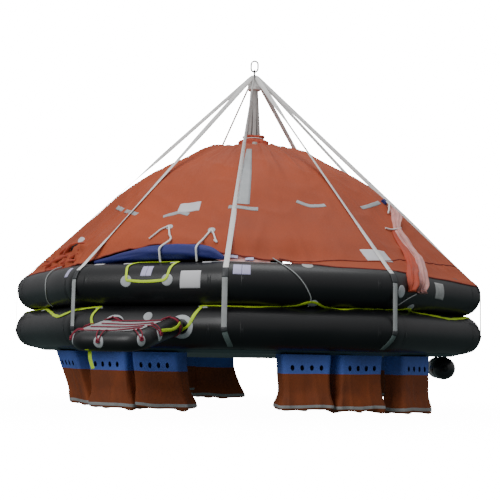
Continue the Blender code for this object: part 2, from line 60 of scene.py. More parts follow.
# Canopy.
CANOPY_LINE = (  # corner radius, height, rounding at that bend
    (2.407, 0.4010, 0.0),
    (1.300, 1.505, 0.20),
    (0.580, 1.880, 0.07),
    (0.105, 1.902, 0.0),
)
DOOR_LIFTS = (  # azimuth, lift of the canopy's hem
    (-74.0, 0.0),
    (-52.0, 0.0),
    (-38.0, 0.030),
    (-27.0, 0.140),
    (-18.0, 0.170),
    (-9.0, 0.165),
    (0.0, 0.070),
    (9.0, 0.030),
    (18.0, 0.0),
    (90.0, 0.0),
    (148.0, 0.0),
    (149.5, 0.28),
    (153.0, 0.48),
    (162.0, 0.56),
    (171.0, 0.48),
    (174.5, 0.28),
    (176.0, 0.0),
    (286.0, 0.0),
)
COLUMNS = 720
ROWS = 96
CANOPY_FULL = 1.0  # how far the cloth fills the space below the straps

# Webbing.
STRAP_TOP_R = 0.050
STRAP_FOOT_R = 2.5196
STRAP_FOOT_H = 0.3646
STRAP_W = 0.050
STRAP_T = 0.004

BAG_AZIMUTHS = (18.6, 33.2, 52.3)
BAG_OUT = 2.120
BAG_TOP_H = FLOOR_RIM_H - SEAT
BAG_HEM_H = -0.900
BAG_FOOT_H = -0.938
BAND_H = 0.175  # blue band at the top of a bag

GAS_R = 0.120
GAS_LENGTH = 0.950
GAS_OUT = 2.140
GAS_H = FLOOR_RIM_H - SEAT - GAS_R

RAMP_AZIMUTH = -18.0
RAMP_ALONG = 0.050
RAMP_HALF_W = 0.295
RAMP_LENGTH = 0.660
RAMP_DIP = math.radians(13)
RAMP_R = 0.085
RAMP_HINGE_R = (RING_R + TUBE_R) * math.cos(HALF) + RAMP_R + 2 * SEAT
RAMP_HINGE_H = -0.200

ARCH_R = 0.085
ARCH_Y = 0.330
ARCH_PATH = (
    (2.1586, 0.3524),
    (1.856, 0.716),
    (1.600, 0.966),
    (1.300, 1.250),
    (1.000, 1.455),
    (0.700, 1.600),
    (0.400, 1.710),
)


def at_height(height):
    return height - HOOK_H


def polar(azimuth, radius, height):
    turn = math.radians(azimuth)
    return Vector((radius * math.sin(turn), -radius * math.cos(turn), at_height(height)))


def corner_share(azimuth, soft=1.3):
    """A ten-sided ring's radius at an azimuth, as a share of its radius at a corner."""
    off = abs((azimuth % BAY) - BAY / 2)
    near = off - (BAY / 2 - soft)
    if near > 0:
        t = near / soft
        off = BAY / 2 - soft + soft * (t - t * t / 2)
    return math.cos(HALF) / math.cos(math.radians(off))


def smooth(low, high, value):
    t = min(max((value - low) / (high - low), 0), 1)
    return t * t * (3 - 2 * t)


def mix(a, b, t):
    return a + (b - a) * t


def along(table, x):
    """Smooth reading of a table of (x, value)."""
    if x <= table[0][0]:
        return table[0][1]
    for (x0, y0), (x1, y1) in zip(table, table[1:]):
        if x <= x1:
            t = (x - x0) / (x1 - x0)
            return mix(y0, y1, t * t * (3 - 2 * t))
    return table[-1][1]


def rough(x, y, seed=0.0):
    """Noise from -1 to 1."""
    return noise.noise(Vector((x, y, seed)))


# Materials
def node(tree, kind, inputs=(), **settings):
    made = tree.nodes.new(kind)
    for name, value in settings.items():
        setattr(made, name, value)
    for key, value in dict(inputs).items():
        if isinstance(value, bpy.types.NodeSocket):
            tree.links.new(value, made.inputs[key])
        else:
            made.inputs[key].default_value = value
    return made


def material(
    name, colour, roughness, vary=0.12, patch=1.2, weave=0.0, bump=0.2, grain=60.0,
    metallic=0.0, sheen=0.0, coat=0.0, through=0.0, wear=None,
):
    """A procedural finish: patchy colour, a weave or grain in relief, and uneven gloss."""
    made = bpy.data.materials.new(name)
    made.use_nodes = True
    tree = made.node_tree
    shader = tree.nodes["Principled BSDF"]
    place = node(tree, "ShaderNodeTexCoord")
    broad = node(
        tree, "ShaderNodeTexNoise",
        {"Vector": place.outputs["Object"], "Scale": patch, "Detail": 4.0, "Roughness": 0.6},
    )
    fine = node(
        tree, "ShaderNodeTexNoise",
        {"Vector": place.outputs["Object"], "Scale": grain, "Detail": 3.0},
    )
    low = tuple(c * (1 - vary) for c in colour)
    high = tuple(min(c * (1 + vary), 1) for c in colour)
    ramp = node(tree, "ShaderNodeValToRGB", {"Fac": broad.outputs["Fac"]})
    ramp.color_ramp.elements[0].position = 0.32
    ramp.color_ramp.elements[1].position = 0.68
    ramp.color_ramp.elements[0].color = (*low, 1)
    ramp.color_ramp.elements[1].color = (*high, 1)
    speck = node(
        tree, "ShaderNodeMix",
        {0: 0.10, 6: ramp.outputs["Color"], 7: fine.outputs["Color"]},
        data_type="RGBA", blend_type="OVERLAY",
    )
    tree.links.new(speck.outputs[2], shader.inputs["Base Color"])
    gloss = node(
        tree, "ShaderNodeMapRange",
        {"Value": broad.outputs["Fac"], "From Min": 0.3, "From Max": 0.7,
         "To Min": max(roughness - 0.07, 0.02), "To Max": min(roughness + 0.08, 1)},
    )
    tree.links.new(gloss.outputs["Result"], shader.inputs["Roughness"])
    height = fine.outputs["Fac"]
    if weave:
        threads = []
        for direction in ("X", "Y"):
            threads.append(
                node(
                    tree, "ShaderNodeTexWave",
                    {"Vector": place.outputs["UV"], "Scale": weave, "Distortion": 0.4,
                     "Detail": 1.0},
                    bands_direction=direction,
                ).outputs["Fac"]
            )
        crossed = node(
            tree, "ShaderNodeMath", {0: threads[0], 1: threads[1]}, operation="MULTIPLY"
        )
        height = node(
            tree, "ShaderNodeMath", {0: crossed.outputs[0], 1: fine.outputs["Fac"]},
            operation="ADD",
        ).outputs[0]
    relief = node(
        tree, "ShaderNodeBump", {"Height": height, "Strength": bump, "Distance": 0.002}
    )
    tree.links.new(relief.outputs["Normal"], shader.inputs["Normal"])
    shader.inputs["Metallic"].default_value = metallic
    shader.inputs["Sheen Weight"].default_value = sheen
    shader.inputs["Coat Weight"].default_value = coat
    if through:
        shader.inputs["Subsurface Weight"].default_value = through
        shader.inputs["Subsurface Radius"].default_value = (0.03, 0.012, 0.006)
        shader.inputs["Subsurface Scale"].default_value = 0.2
    return made


RUBBER = material("black_rubber_skin", (0.0045, 0.0047, 0.0056), 0.40, vary=0.25, grain=180, bump=0.12, coat=0.08)
FLOOR = material("floor_skin", (0.050, 0.095, 0.100), 0.50, vary=0.3, grain=120, bump=0.2)
ORANGE = material("canopy_cloth", (0.390, 0.066, 0.018), 0.74, vary=0.14, patch=0.9, weave=250, bump=0.25, grain=90)
BLUE = material("inner_door_cloth", (0.014, 0.020, 0.165), 0.62, vary=0.25, weave=250, grain=90)
PINK = material("flap_cloth", (0.640, 0.310, 0.280), 0.60, vary=0.25, patch=7, weave=250, grain=90, through=0.3)
BAG_BLUE = material("bag_band_cloth", (0.072, 0.140, 0.500), 0.75, vary=0.2, patch=3, weave=200, grain=80)
BAG_ORANGE = material("bag_cloth", (0.240, 0.052, 0.010), 0.80, vary=0.25, patch=3, weave=200, grain=80)
HEM_GREY = material("bag_hem_tape", (0.330, 0.335, 0.330), 0.8, vary=0.15, patch=6, weave=200, grain=80)
WHITE = material("white_webbing_weave", (0.860, 0.850, 0.830), 0.75, vary=0.08, patch=5, weave=400, bump=0.5, grain=150)
INNER_WEB = material("inner_webbing_weave", (0.480, 0.460, 0.440), 0.75, vary=0.15, patch=9, weave=400, bump=0.5, grain=150)
YELLOW = material("lifeline_webbing_weave", (0.640, 0.950, 0.035), 0.6, vary=0.15, patch=5, weave=400, bump=0.5, grain=150)
GREY = material("grey_patch_rubber", (0.480, 0.500, 0.510), 0.60, vary=0.15, patch=9, grain=120)
GREY_TAPE = material("reflective_tape", (0.370, 0.390, 0.400), 0.35, vary=0.12, patch=8, weave=300, grain=120)
PLATE_GREY = material("blank_patch_grey", (0.430, 0.430, 0.420), 0.6, vary=0.2, patch=12, grain=120)
RUBBER_TAPE = material("tube_seam_tape", (0.012, 0.013, 0.014), 0.45, vary=0.2, grain=160, bump=0.15)
ORANGE_SEAM = material("canopy_seam_tape", (0.350, 0.055, 0.021), 0.65, vary=0.15, patch=3, weave=250, grain=90)
PLATE = material("blank_plate", (0.660, 0.650, 0.670), 0.55, vary=0.06, patch=4, grain=120)
# Painted shade: a darker orange for the hem's and the sewn fold's ropes, standing in for the shadow along the hem and
# in the fold.
ORANGE_HEM_SHADE = material("canopy_hem_painted_shade", (0.240, 0.030, 0.014), 0.7, vary=0.25, patch=5, weave=250, grain=90)
ORANGE_BRIGHT = material("collar_cloth", (0.430, 0.058, 0.022), 0.65, vary=0.2, patch=6, weave=250, grain=90)
LILAC = material("reflective_patch", (0.560, 0.530, 0.760), 0.4, vary=0.08, patch=8, weave=300, grain=120)
# Grey webbing for the thin lines and gas slings; on the lifting straps it is painted shade, greying the white webbing
# between the keepers.
GREY_WEB_AND_STRAP_SHADE = material("grey_webbing_and_strap_painted_shade", (0.430, 0.445, 0.440), 0.75, vary=0.15, patch=5, weave=400, bump=0.5, grain=150)
# Painted shade: the lifting straps' white webbing, darkened and tinted teal below the lower keeper where the tube's
# underside is in shadow.
STRAP_TAIL_SHADE = material("strap_tail_painted_shade", (0.130, 0.175, 0.165), 0.6, vary=0.2, patch=5, weave=400, bump=0.5, grain=150)
# Painted shadow: a near-black patch on the canopy standing in for the shade inside the port's slit, where the cloth has
# no opening.
PORT_SHADOW_PAINT = material("port_painted_shadow", (0.012, 0.008, 0.008), 0.9, vary=0.2)
DARK = material("dark_keeper", (0.040, 0.042, 0.045), 0.45, vary=0.2, patch=8, grain=120)
STEEL = material("dull_steel", (0.016, 0.016, 0.016), 0.55, vary=0.35, patch=30, grain=200, metallic=0.4)
GAS = material("bottle_paint", (0.012, 0.012, 0.013), 0.28, vary=0.2, grain=90, coat=0.3)
RED = material("lashing_cord", (0.230, 0.008, 0.030), 0.7, vary=0.2, patch=20, grain=300)
DECK = material("deck_webbing", (0.360, 0.365, 0.370), 0.75, vary=0.15, patch=6, weave=300, bump=0.5, grain=120)
LAMP = material("lamp_case", (0.500, 0.490, 0.450), 0.3, vary=0.06, grain=80)


# Mesh builders
def mesh_piece(name, verts, faces, finish, slot, body="raft", uvs=None, flat=False):
    mesh = bpy.data.meshes.new(name)
    mesh.from_pydata([tuple(v) for v in verts], [], faces)
    if uvs:
        layer = mesh.uv_layers.new(name="cloth")
        for loop in mesh.loops:
            layer.data[loop.index].uv = uvs[loop.vertex_index]
    mesh.materials.append(finish)
    mesh.validate()
    obj = bpy.data.objects.new(name, mesh)
    bpy.context.scene.collection.objects.link(obj)
    if not flat:
        mesh.shade_smooth()
    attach(obj, body)
    return obj


def grid_faces(rows, columns, wrap=False, closed=False):
    faces = []
    for i in range(rows if closed else rows - 1):
        k = (i + 1) % rows
        for j in range(columns if wrap else columns - 1):
            n = (j + 1) % columns
            faces.append((i * columns + j, i * columns + n, k * columns + n, k * columns + j))
    return faces


def grid(name, rows, finish, slot, wrap=False, closed=False, caps=False, body="raft", uv=None, turn_u=None):
    """A skin through rows of points. wrap joins the ends of each row, closed the last row to the first."""
    columns = len(rows[0])
    verts = [point for row in rows for point in row]
    faces = grid_faces(len(rows), columns, wrap, closed)
    if caps:
        faces.append(tuple(range(columns))[::-1])
        faces.append(tuple(range(len(verts) - columns, len(verts))))
    if uv is None:
        middle = rows[len(rows) // 2]
        across = [0.0]
        for a, b in zip(middle, middle[1:]):
            across.append(across[-1] + (b - a).length)
        up = [0.0]
        for a, b in zip(rows, rows[1:]):
            up.append(up[-1] + (b[columns // 2] - a[columns // 2]).length)
        uv = [(across[j], up[i]) for i in range(len(rows)) for j in range(columns)]
    obj = mesh_piece(name, verts, faces, finish, slot, body, uv)
    if turn_u:
        layer = obj.data.uv_layers[0].data
        for face in obj.data.polygons:
            if face.index % columns == columns - 1:
                for loop in face.loop_indices:
                    if obj.data.loops[loop].vertex_index % columns == 0:
                        layer[loop].uv.x += turn_u
    return obj


def ribbon(name, points, normals, width, thickness, finish, slot, body="raft", cyclic=False, widths=None):
    """Webbing: a flat band along points, with its face towards the normals."""
    rows = []
    count = len(points)
    for i, point in enumerate(points):
        before = points[i - 1] if i or cyclic else points[0]
        after = points[(i + 1) % count] if i < count - 1 or cyclic else points[-1]
        ahead = (after - before).normalized()
        face = (normals[i] - ahead * normals[i].dot(ahead)).normalized()
        side = ahead.cross(face)
        w = (widths[i] if widths else width) / 2
        t = thickness / 2
        edge = min(t, w) * 0.6
        loop = (
            (-w, -t + edge), (-w, t - edge), (-w + edge, t), (0, t), (w - edge, t),
            (w, t - edge), (w, -t + edge), (w - edge, -t), (0, -t), (-w + edge, -t),
        )
        rows.append([point + side * x + face * y for x, y in loop])
    obj = grid(name, rows, finish, slot, wrap=True, closed=cyclic, caps=not cyclic, body=body)
    return obj


def rope(name, points, radius, finish, body="raft", cyclic=False, sides=3):
    curve = bpy.data.curves.new(name, "CURVE")
    curve.dimensions = "3D"
    curve.bevel_depth = radius
    curve.bevel_resolution = sides
    curve.use_fill_caps = True
    spline = curve.splines.new("POLY")
    spline.points.add(len(points) - 1)
    spline.use_cyclic_u = cyclic
    for i, point in enumerate(points):
        spline.points[i].co = (*point, 1)
    curve.materials.append(finish)
    obj = bpy.data.objects.new(name, curve)
    bpy.context.scene.collection.objects.link(obj)
    for part in curve.splines:
        part.use_smooth = True
    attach(obj, body)
    return obj


def spline(points, steps):
    """A smooth line through points, with that many steps between two."""
    points = [Vector(p) for p in points]
    line = []
    for i in range(len(points) - 1):
        p0 = points[max(i - 1, 0)]
        p1, p2 = points[i], points[i + 1]
        p3 = points[min(i + 2, len(points) - 1)]
        for step in range(steps):
            t = step / steps
            line.append(
                0.5
                * (
                    2 * p1
                    + (p2 - p0) * t
                    + (2 * p0 - 5 * p1 + 4 * p2 - p3) * t * t
                    + (3 * p1 - p0 - 3 * p2 + p3) * t * t * t
                )
            )
    line.append(points[-1])
    return line


def tube_loft(name, points, radii, finish, slot, body="raft", around=32, shape=None, caps=True):
    """A round skin along points. shape gives a share of the radius for (length, angle)."""
    rows = []
    length = 0.0
    up = Vector((0, 0, 1))
    for i, point in enumerate(points):
        ahead = (points[min(i + 1, len(points) - 1)] - points[max(i - 1, 0)]).normalized()
        if i:
            length += (point - points[i - 1]).length
        side = ahead.cross(up)
        if side.length < 0.05:
            side = last_side
        side.normalize()
        last_side = side
        top = side.cross(ahead).normalized()
        row = []
        for j in range(around):
            turn = math.tau * j / around
            share = shape(length, turn) if shape else 1
            row.append(point + (side * math.cos(turn) + top * math.sin(turn)) * radii[i] * share)
        rows.append(row)
    return grid(name, rows, finish, slot, wrap=True, caps=caps, body=body)


# Surfaces of the raft
def on_tube(level, azimuth, turn, above=0.0):
    """A point on the upper (1) or lower (-1) tube, at an angle round it from its outermost line."""
    corner_r = RING_R + (0.195 + above) / math.cos(HALF) * math.cos(turn)
    height = level * TUBE_R + (TUBE_R + above) * math.sin(turn)
    return polar(azimuth, corner_r * corner_share(azimuth), height)


def canopy_profile():
    """The canopy's corner line, rounded at its bends: [(length, radius, height)]."""
    points = [Vector((r, h)) for r, h, _ in CANOPY_LINE]
    line = [points[0]]
    for i in (1, 2):
        reach = CANOPY_LINE[i][2]
        start = points[i] + (points[i - 1] - points[i]).normalized() * reach
        end = points[i] + (points[i + 1] - points[i]).normalized() * reach
        for step in range(13):
            t = step / 12
            line.append(start * (1 - t) ** 2 + points[i] * 2 * t * (1 - t) + end * t * t)
    line.append(points[-1])
    dense = []
    for a, b in zip(line, line[1:]):
        parts = max(int((b - a).length / 0.02), 1)
        dense += [a.lerp(b, k / parts) for k in range(parts)]
    dense.append(line[-1])
    length = 0.0
    made = [(0.0, dense[0].x, dense[0].y)]
    for a, b in zip(dense, dense[1:]):
        length += (b - a).length
        made.append((length, b.x, b.y))
    return made


PROFILE = canopy_profile()
SLOPE = PROFILE[-1][0]


def at_slope(v):
    """Corner radius and height that far up the canopy's slope."""
    v = min(max(v, 0.0), SLOPE)
    low, high = 0, len(PROFILE) - 1
    while high - low > 1:
        middle = (low + high) // 2
        if PROFILE[middle][0] <= v:
            low = middle
        else:
            high = middle
    a, b = PROFILE[low], PROFILE[high]
    t = (v - a[0]) / (b[0] - a[0])
    return mix(a[1], b[1], t), mix(a[2], b[2], t)


def slope_at(height):
    for a, b in zip(PROFILE, PROFILE[1:]):
        if b[2] >= height:
            return mix(a[0], b[0], (height - a[2]) / (b[2] - a[2]))
    return SLOPE


EAVE_TURN = math.atan2(CANOPY_LINE[0][1] - TUBE_R, CANOPY_LINE[0][0] - RING_R)


def crumple(azimuth, v):
    """The cloth bunched round the port beside the front doorway."""
    near = azimuth if azimuth < 180 else azimuth - 360
    window = smooth(-74, -64, near) * (1 - smooth(-49, -42, near)) * (1 - smooth(0.25, 0.50, v))
    if window <= 0:
        return 0.0
    folds = 1 - abs(noise.noise(Vector((near * 0.22 + v * 3, v * 7, 5.0)))) * 3
    return window * (0.040 * max(folds, 0) + 0.030 * noise.noise(Vector((near * 0.3, v * 9, 2.0))))


def wrinkle(azimuth, v):
    """How far the canopy's cloth stands out of its smooth form."""
    turn = math.radians(azimuth)
    x, y = math.cos(turn) * 3.2, math.sin(turn) * 3.2
    eave = math.exp(-max(v, 0) / 0.30)
    top = smooth(1.2, 1.7, v)
    fine = noise.noise(Vector((x * 5.0, y * 5.0, v * 1.4)))
    creases = 1 - abs(noise.noise(Vector((x * 3.4, y * 3.4, v * 0.9 + 7)))) * 3.2
    broad = noise.noise(Vector((x * 0.8, y * 0.8, v * 1.5 + 3)))
    slant = 1 - abs(noise.noise(Vector((x * 1.3 + v * 2.4, y * 1.3 + v * 1.9, v * 1.2 + 11)))) * 3.0
    fan = 1 - abs(noise.noise(Vector((x * 2.1, y * 2.1, v * 0.5 + 19)))) * 4.0
    left = smooth(-95, -70, (azimuth + 180) % 360 - 180) * (1 - smooth(-38, -30, (azimuth + 180) % 360 - 180))
    draw = 1 - abs(noise.noise(Vector((azimuth * 0.30 - v * 2.2, v * 1.1, 31)))) * 3.2
    off_corner = 1 - math.exp(-(((azimuth + BAY / 2) % BAY - BAY / 2) / 2.6) ** 2)
    hollow = -0.014 * math.sin(math.pi * min(max(v, 0) / 1.6, 1)) * math.sin(math.pi * (azimuth % BAY) / BAY)
    cloth = (
        0.009 * broad
        + 0.008 * max(slant, 0)
        + fine * (0.003 + 0.006 * eave)
        + max(creases, 0) * (0.006 + 0.006 * eave)
        - 0.010
        + top * (0.016 * max(fan, 0) + 0.006 * math.cos(turn * 26 + 3 * fine))
        + left * 0.014 * max(draw, 0)
    )
    return cloth * (0.06 + 0.94 * off_corner) + hollow + crumple(azimuth, v)


def strap_gap(radius, height):
    """The space between a corner of the canopy and the strap over it."""
    run, fall = STRAP_FOOT_R - STRAP_TOP_R, STRAP_TOP_H - STRAP_FOOT_H
    along_strap = math.hypot(run, fall)
    gap = (fall * (STRAP_TOP_R - radius) + run * (STRAP_TOP_H - height)) / along_strap
    return min(max(gap - STRAP_T / 2 - 0.0015, 0), 0.06)


SKIRTS = (  # azimuth, how far the canopy's hem runs down the tube
    (-180.0, 0.12), (-162.0, 0.10), (-144.0, 0.13), (-108.0, 0.15), (-90.0, 0.12), (-72.0, 0.105),
    (-62.0, 0.073), (-52.0, 0.010), (-40.0, 0.0), (11.0, 0.0), (17.0, 0.045), (25.0, 0.091),
    (36.0, 0.101), (45.0, 0.122), (56.0, 0.143), (72.0, 0.178), (90.0, 0.13), (108.0, 0.15),
    (144.0, 0.12), (180.0, 0.12),
)


def stretch_at(azimuth):
    """How far the low edge of the cloth is drawn out over the tube's shoulder, 0 to 1."""
    return smooth(0.04, 0.12, along(SKIRTS, (azimuth + 180) % 360 - 180))


def hem_start(azimuth):
    """The slope at which the canopy's cloth begins at an azimuth."""
    lift = lift_at(azimuth) * 1.42
    near = (azimuth + 180) % 360 - 180
    return lift - along(SKIRTS, near) * (1 - smooth(0.0, 0.02, lift))


def on_canopy(azimuth, v, above=0.0):
    if v < 0:
        lump = 0.002 * rough(azimuth * 0.7, v * 12, 6.0)
        lying = on_tube(1, azimuth, EAVE_TURN + v / TUBE_R, above + 0.0035 + lump)
        gap = strap_gap(*CANOPY_LINE[0][:2]) + above
        fall = Vector((0.717, -0.697))
        start = Vector((CANOPY_LINE[0][0] + 0.77 * gap, CANOPY_LINE[0][1] + 0.64 * gap))
        if v > -0.10:
            place = start + fall * -v
            taut = polar(azimuth, place.x * corner_share(azimuth), place.y)
        else:
            turn = math.radians(53) + (v + 0.10) / TUBE_R
            taut = on_tube(1, azimuth, turn, above + 0.0035 + lump)
        return lying.lerp(taut, stretch_at(azimuth))
    corner_r, height = at_slope(v)
    if v > SLOPE - 0.02:
        back_r, back_h = at_slope(v - 0.02)
        slope = Vector((corner_r - back_r, height - back_h)).normalized()
    else:
        ahead_r, ahead_h = at_slope(v + 0.02)
        slope = Vector((ahead_r - corner_r, ahead_h - height)).normalized()
    out = Vector((slope.y, -slope.x))
    roundness = smooth(0.5, 2.0, v) * 0.75
    share = mix(corner_share(azimuth), 0.988, roundness)
    fuller = CANOPY_FULL * strap_gap(corner_r, height) * mix(smooth(0.05, 0.35, v), 1, stretch_at(azimuth)) * (1 - smooth(1.15, 1.70, v))
    off = above + fuller + wrinkle(azimuth, v) * smooth(0, 0.06, v) * (1 - smooth(SLOPE - 0.1, SLOPE, v))
    return polar(azimuth, corner_r * share + out.x * off, height + out.y * off)


def tube_surface(level, azimuth, degrees):
    """Local metres (along, up the tube, above) on a tube, about a place."""

    def surface(u, v, above=0.0):
        return on_tube(
            level, azimuth + math.degrees(u / 2.47), math.radians(degrees) + v / TUBE_R, above
        )

    return surface


def canopy_surface(azimuth, slope):
    radius = at_slope(slope)[0]

    def surface(u, v, above=0.0):
        return on_canopy(azimuth + math.degrees(u / radius), slope + v, above)

    return surface


def box_outline(width, height, tilt=0.0, slant=0.0, steps=8):
    """Points round a rectangle, turned by a tilt or slanted into a parallelogram."""
    x, y = width / 2, height / 2
    corners = [(x, -y), (x, y), (-x, y), (-x, -y)]
    points = []
    for (x0, y0), (x1, y1) in zip(corners, corners[1:] + corners[:1]):
        for i in range(steps):
            points.append((mix(x0, x1, i / steps), mix(y0, y1, i / steps)))
    c, s = math.cos(math.radians(tilt)), math.sin(math.radians(tilt))
    return [((px - slant * py) * c - py * s, (px - slant * py) * s + py * c) for px, py in points]


def round_outline(radius, tall=1.0, steps=32):
    return [
        (radius * math.cos(math.tau * i / steps), radius * tall * math.sin(math.tau * i / steps))
        for i in range(steps)
    ]


def patch(name, surface, outline, finish, slot="black_rubber", thick=0.0025, inner=0.0, rings=5, body="raft"):
    """A glued patch that follows the surface below it. inner leaves a hole in its middle."""
    rows, uv = [], []
    levels = [(1.02, -0.004), (1.01, thick * 0.5)]
    levels += [(mix(1.0, max(inner, 0.001), i / rings), thick) for i in range(rings + 1)]
    if inner:
        levels += [(inner - 0.01, thick * 0.5), (inner - 0.02, -0.004)]
    for scale, above in levels:
        rows.append([surface(u * scale, v * scale, above) for u, v in outline])
        uv += [(u * scale, v * scale) for u, v in outline]
    return grid(name, rows, finish, slot, wrap=True, body=body, uv=uv)


def strip(name, path, width, finish, slot="deck_fabric", thick=0.003, steps=14):
    """A flat tape on the canopy along a path of (azimuth, slope)."""
    radius = at_slope(path[0][1])[0]
    flat = [Vector((math.radians(a) * radius, v, 0)) for a, v in path]
    line = spline(flat, max(steps // (len(flat) - 1), 2))
    rows, uv = [], []
    for i, point in enumerate(line):
        ahead = (line[min(i + 1, len(line) - 1)] - line[max(i - 1, 0)]).normalized()
        side = Vector((-ahead.y, ahead.x, 0))
        row = []
        for share, above in ((-1.02, -0.003), (-1, thick), (-0.5, thick), (0, thick), (0.5, thick), (1, thick), (1.02, -0.003)):
            at = point + side * share * width / 2
            row.append(on_canopy(math.degrees(at.x / radius), at.y, above))
            uv.append((share * width / 2, i * 0.02))
        rows.append(row)
    return grid(name, rows, finish, slot, uv=uv)


def tape(name, level, path, width, finish, slot="black_rubber", thick=0.002, steps=16, body="raft"):
    """A flat tape on a tube along a path of (azimuth, angle round the tube)."""
    flat = [Vector((math.radians(a) * 2.47, math.radians(t) * TUBE_R, 0)) for a, t in path]
    line = spline(flat, max(steps // (len(flat) - 1), 2))
    rows, uv = [], []
    for i, point in enumerate(line):
        ahead = (line[min(i + 1, len(line) - 1)] - line[max(i - 1, 0)]).normalized()
        side = Vector((-ahead.y, ahead.x, 0))
        row = []
        for share, above in ((-1.03, -0.002), (-1, thick), (-0.33, thick), (0.33, thick), (1, thick), (1.03, -0.002)):
            at = point + side * share * width / 2
            row.append(on_tube(level, math.degrees(at.x / 2.47), at.y / TUBE_R, above))
            uv.append((share * width / 2, i * 0.02))
        rows.append(row)
    return grid(name, rows, finish, slot, uv=uv, body=body)


# Pieces
WALL_GLOW = 18.0  # the pale wall, which only the camera sees
FLOOR_GLOW = 14.0
FLOOR_H = -1.05
SKY = (  # height of the direction from straight down to straight up, colour
    (0.02, (0.06, 0.080, 0.080)), (0.40, (0.11, 0.15, 0.15)), (0.49, (0.26, 0.29, 0.30)),
    (0.60, (0.40, 0.40, 0.41)), (0.80, (0.58, 0.585, 0.60)), (0.98, (0.88, 0.89, 0.91)),
)
LIGHTS = (
    ("key", (-4.5, -9.0, 1.5), (0, 0, -2.4), 5.0, 410),
    ("top", (1.0, -1.5, 7.0), (0, 0, -2.0), 6.0, 300),
)


def make_camera():
    data = bpy.data.cameras.new("camera")
    camera = bpy.data.objects.new("camera", data)
    bpy.context.scene.collection.objects.link(camera)
    bpy.context.scene.camera = camera
    data.sensor_width = 36
    data.lens = 998.4 / 500 * 36
    azimuth = math.radians(5)
    distance = 11.408
    camera.location = (
        distance * math.sin(azimuth), -distance * math.cos(azimuth), at_height(-0.435)
    )
    look = Vector(
        (
            -math.sin(azimuth) - 0.00145 * math.cos(azimuth),
            math.cos(azimuth) - 0.00145 * math.sin(azimuth),
            math.tan(math.radians(5.954)),
        )
    )
    camera.rotation_mode = "QUATERNION"
    camera.rotation_quaternion = look.to_track_quat("-Z", "Y") @ Quaternion(
        (0, 0, 1), math.radians(0.995)
    )


def make_tubes():
    for name, level in (("upper", 1), ("lower", -1)):
        rows = []
        azimuths = []
        for bay in range(SIDES):
            azimuths += [bay * BAY + a for a in (0, 0.4, 0.8, 1.3, 2, 4, 7, 10.5, 14, 18, 22, 25.5, 29, 32, 34, 34.7, 35.2, 35.6)]
        for azimuth in azimuths:
            row = []
            for j in range(48):
                turn = math.tau * j / 48
                puff = 0.0015 * rough(azimuth * 0.12, turn * 1.3, level)
                row.append(on_tube(level, azimuth, turn, puff))
            rows.append(row)
        tube = grid(f"{name}_tube_skin", rows, RUBBER, "black_rubber", wrap=True, closed=True)
        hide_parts(f"{name}_tube")


FLOOR_ROWS = (  # corner radius, height: the underside from the tube inwards, then the top outwards
    (2.440, -0.3965), (2.400, -0.4040), (2.350, -0.4150), (2.300, -0.4290), (2.280, -0.4303),
    (2.000, -0.4303), (1.740, -0.4303), (1.470, -0.4480), (1.200, -0.4753), (0.600, -0.4753), (0.002, -0.4753),
    (0.001, -0.4003), (1.200, -0.4003), (2.300, -0.4003),
)


def make_floor():
    rows = []
    for radius, height in FLOOR_ROWS:
        row = []
        for i in range(360):
            sag = -0.0035 * max(rough(i * 0.35, radius * 6, 1.0), 0) * smooth(1.8, 1.2, radius)
            row.append(polar(i, radius * corner_share(i), height + min(sag, 0)))
        rows.append(row)
    floor = grid("floor_skin", rows, FLOOR, "floor_fabric", wrap=True, closed=True)
    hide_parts("floor")


def lift_at(azimuth):
    azimuth = (azimuth + 74) % 360 - 74
    return along(DOOR_LIFTS, azimuth)


PORT_FOLDS = (  # paths of (azimuth, slope), thickness
    (((-49, 0.33), (-54, 0.27), (-59, 0.18), (-64, 0.07)), 0.020),
    (((-50, 0.24), (-55, 0.19), (-60, 0.10), (-64, 0.01)), 0.024),
    (((-48, 0.17), (-53, 0.12), (-58, 0.05), (-62, -0.03)), 0.020),
    (((-46, 0.08), (-50, 0.07), (-55, 0.01), (-60, -0.05)), 0.018),
    (((-57, 0.30), (-60, 0.24), (-64, 0.15), (-67, 0.04)), 0.018),
)


def make_canopy_folds():
    """The sewn fold above the hem, and the cloth gathered round the port."""
    made = []
    line = []
    for i in range(301):
        azimuth = mix(11.5, 313.0, i / 300)
        near = (azimuth + 180) % 360 - 180
        v = mix(0.030, 0.115, smooth(33, 50, azimuth)) + 0.006 * rough(azimuth * 0.2, 0.0, 3.0)
        v = max(v, lift_at(azimuth) * 1.42 + 0.02)
        line.append(on_canopy(azimuth, v, 0.001))
    # Drawn in the darker orange: painted shade in the fold.
    made.append(rope("canopy_sewn_fold", line, 0.006, ORANGE_HEM_SHADE))
    for n, (path, thick) in enumerate(PORT_FOLDS, 1):
        points = spline([on_canopy(a, v, 0.006) for a, v in path], 8)
        radii = [thick * (0.35 + 0.65 * math.sin(math.pi * (i + 1) / (len(points) + 1))) for i in range(len(points))]

        def shape(length, turn, seed=n):
            return 1 + 0.35 * rough(length * 14, turn, seed * 3.0)

        made.append(tube_loft(f"port_gather_{n}", points, radii, ORANGE_BRIGHT, "orange_fabric", shape=shape, around=24))
    return made


def canopy_cut_area():
    """The canopy's flat area, from the raft's own dimensions and not from the mesh:
    the faces of a ten-sided tent with its skirt, less the two doorways."""
    perimeter_per_radius = 2 * SIDES * math.sin(HALF)
    area = 0.0
    for (low_r, low_h, _), (high_r, high_h, _) in zip(CANOPY_LINE, CANOPY_LINE[1:]):
        slope = math.hypot((low_r - high_r) * math.cos(HALF), high_h - low_h)
        area += perimeter_per_radius * (low_r + high_r) / 2 * slope
    for azimuth in range(360):
        area -= perimeter_per_radius * CANOPY_LINE[0][0] / 360 * hem_start(azimuth)
    return area


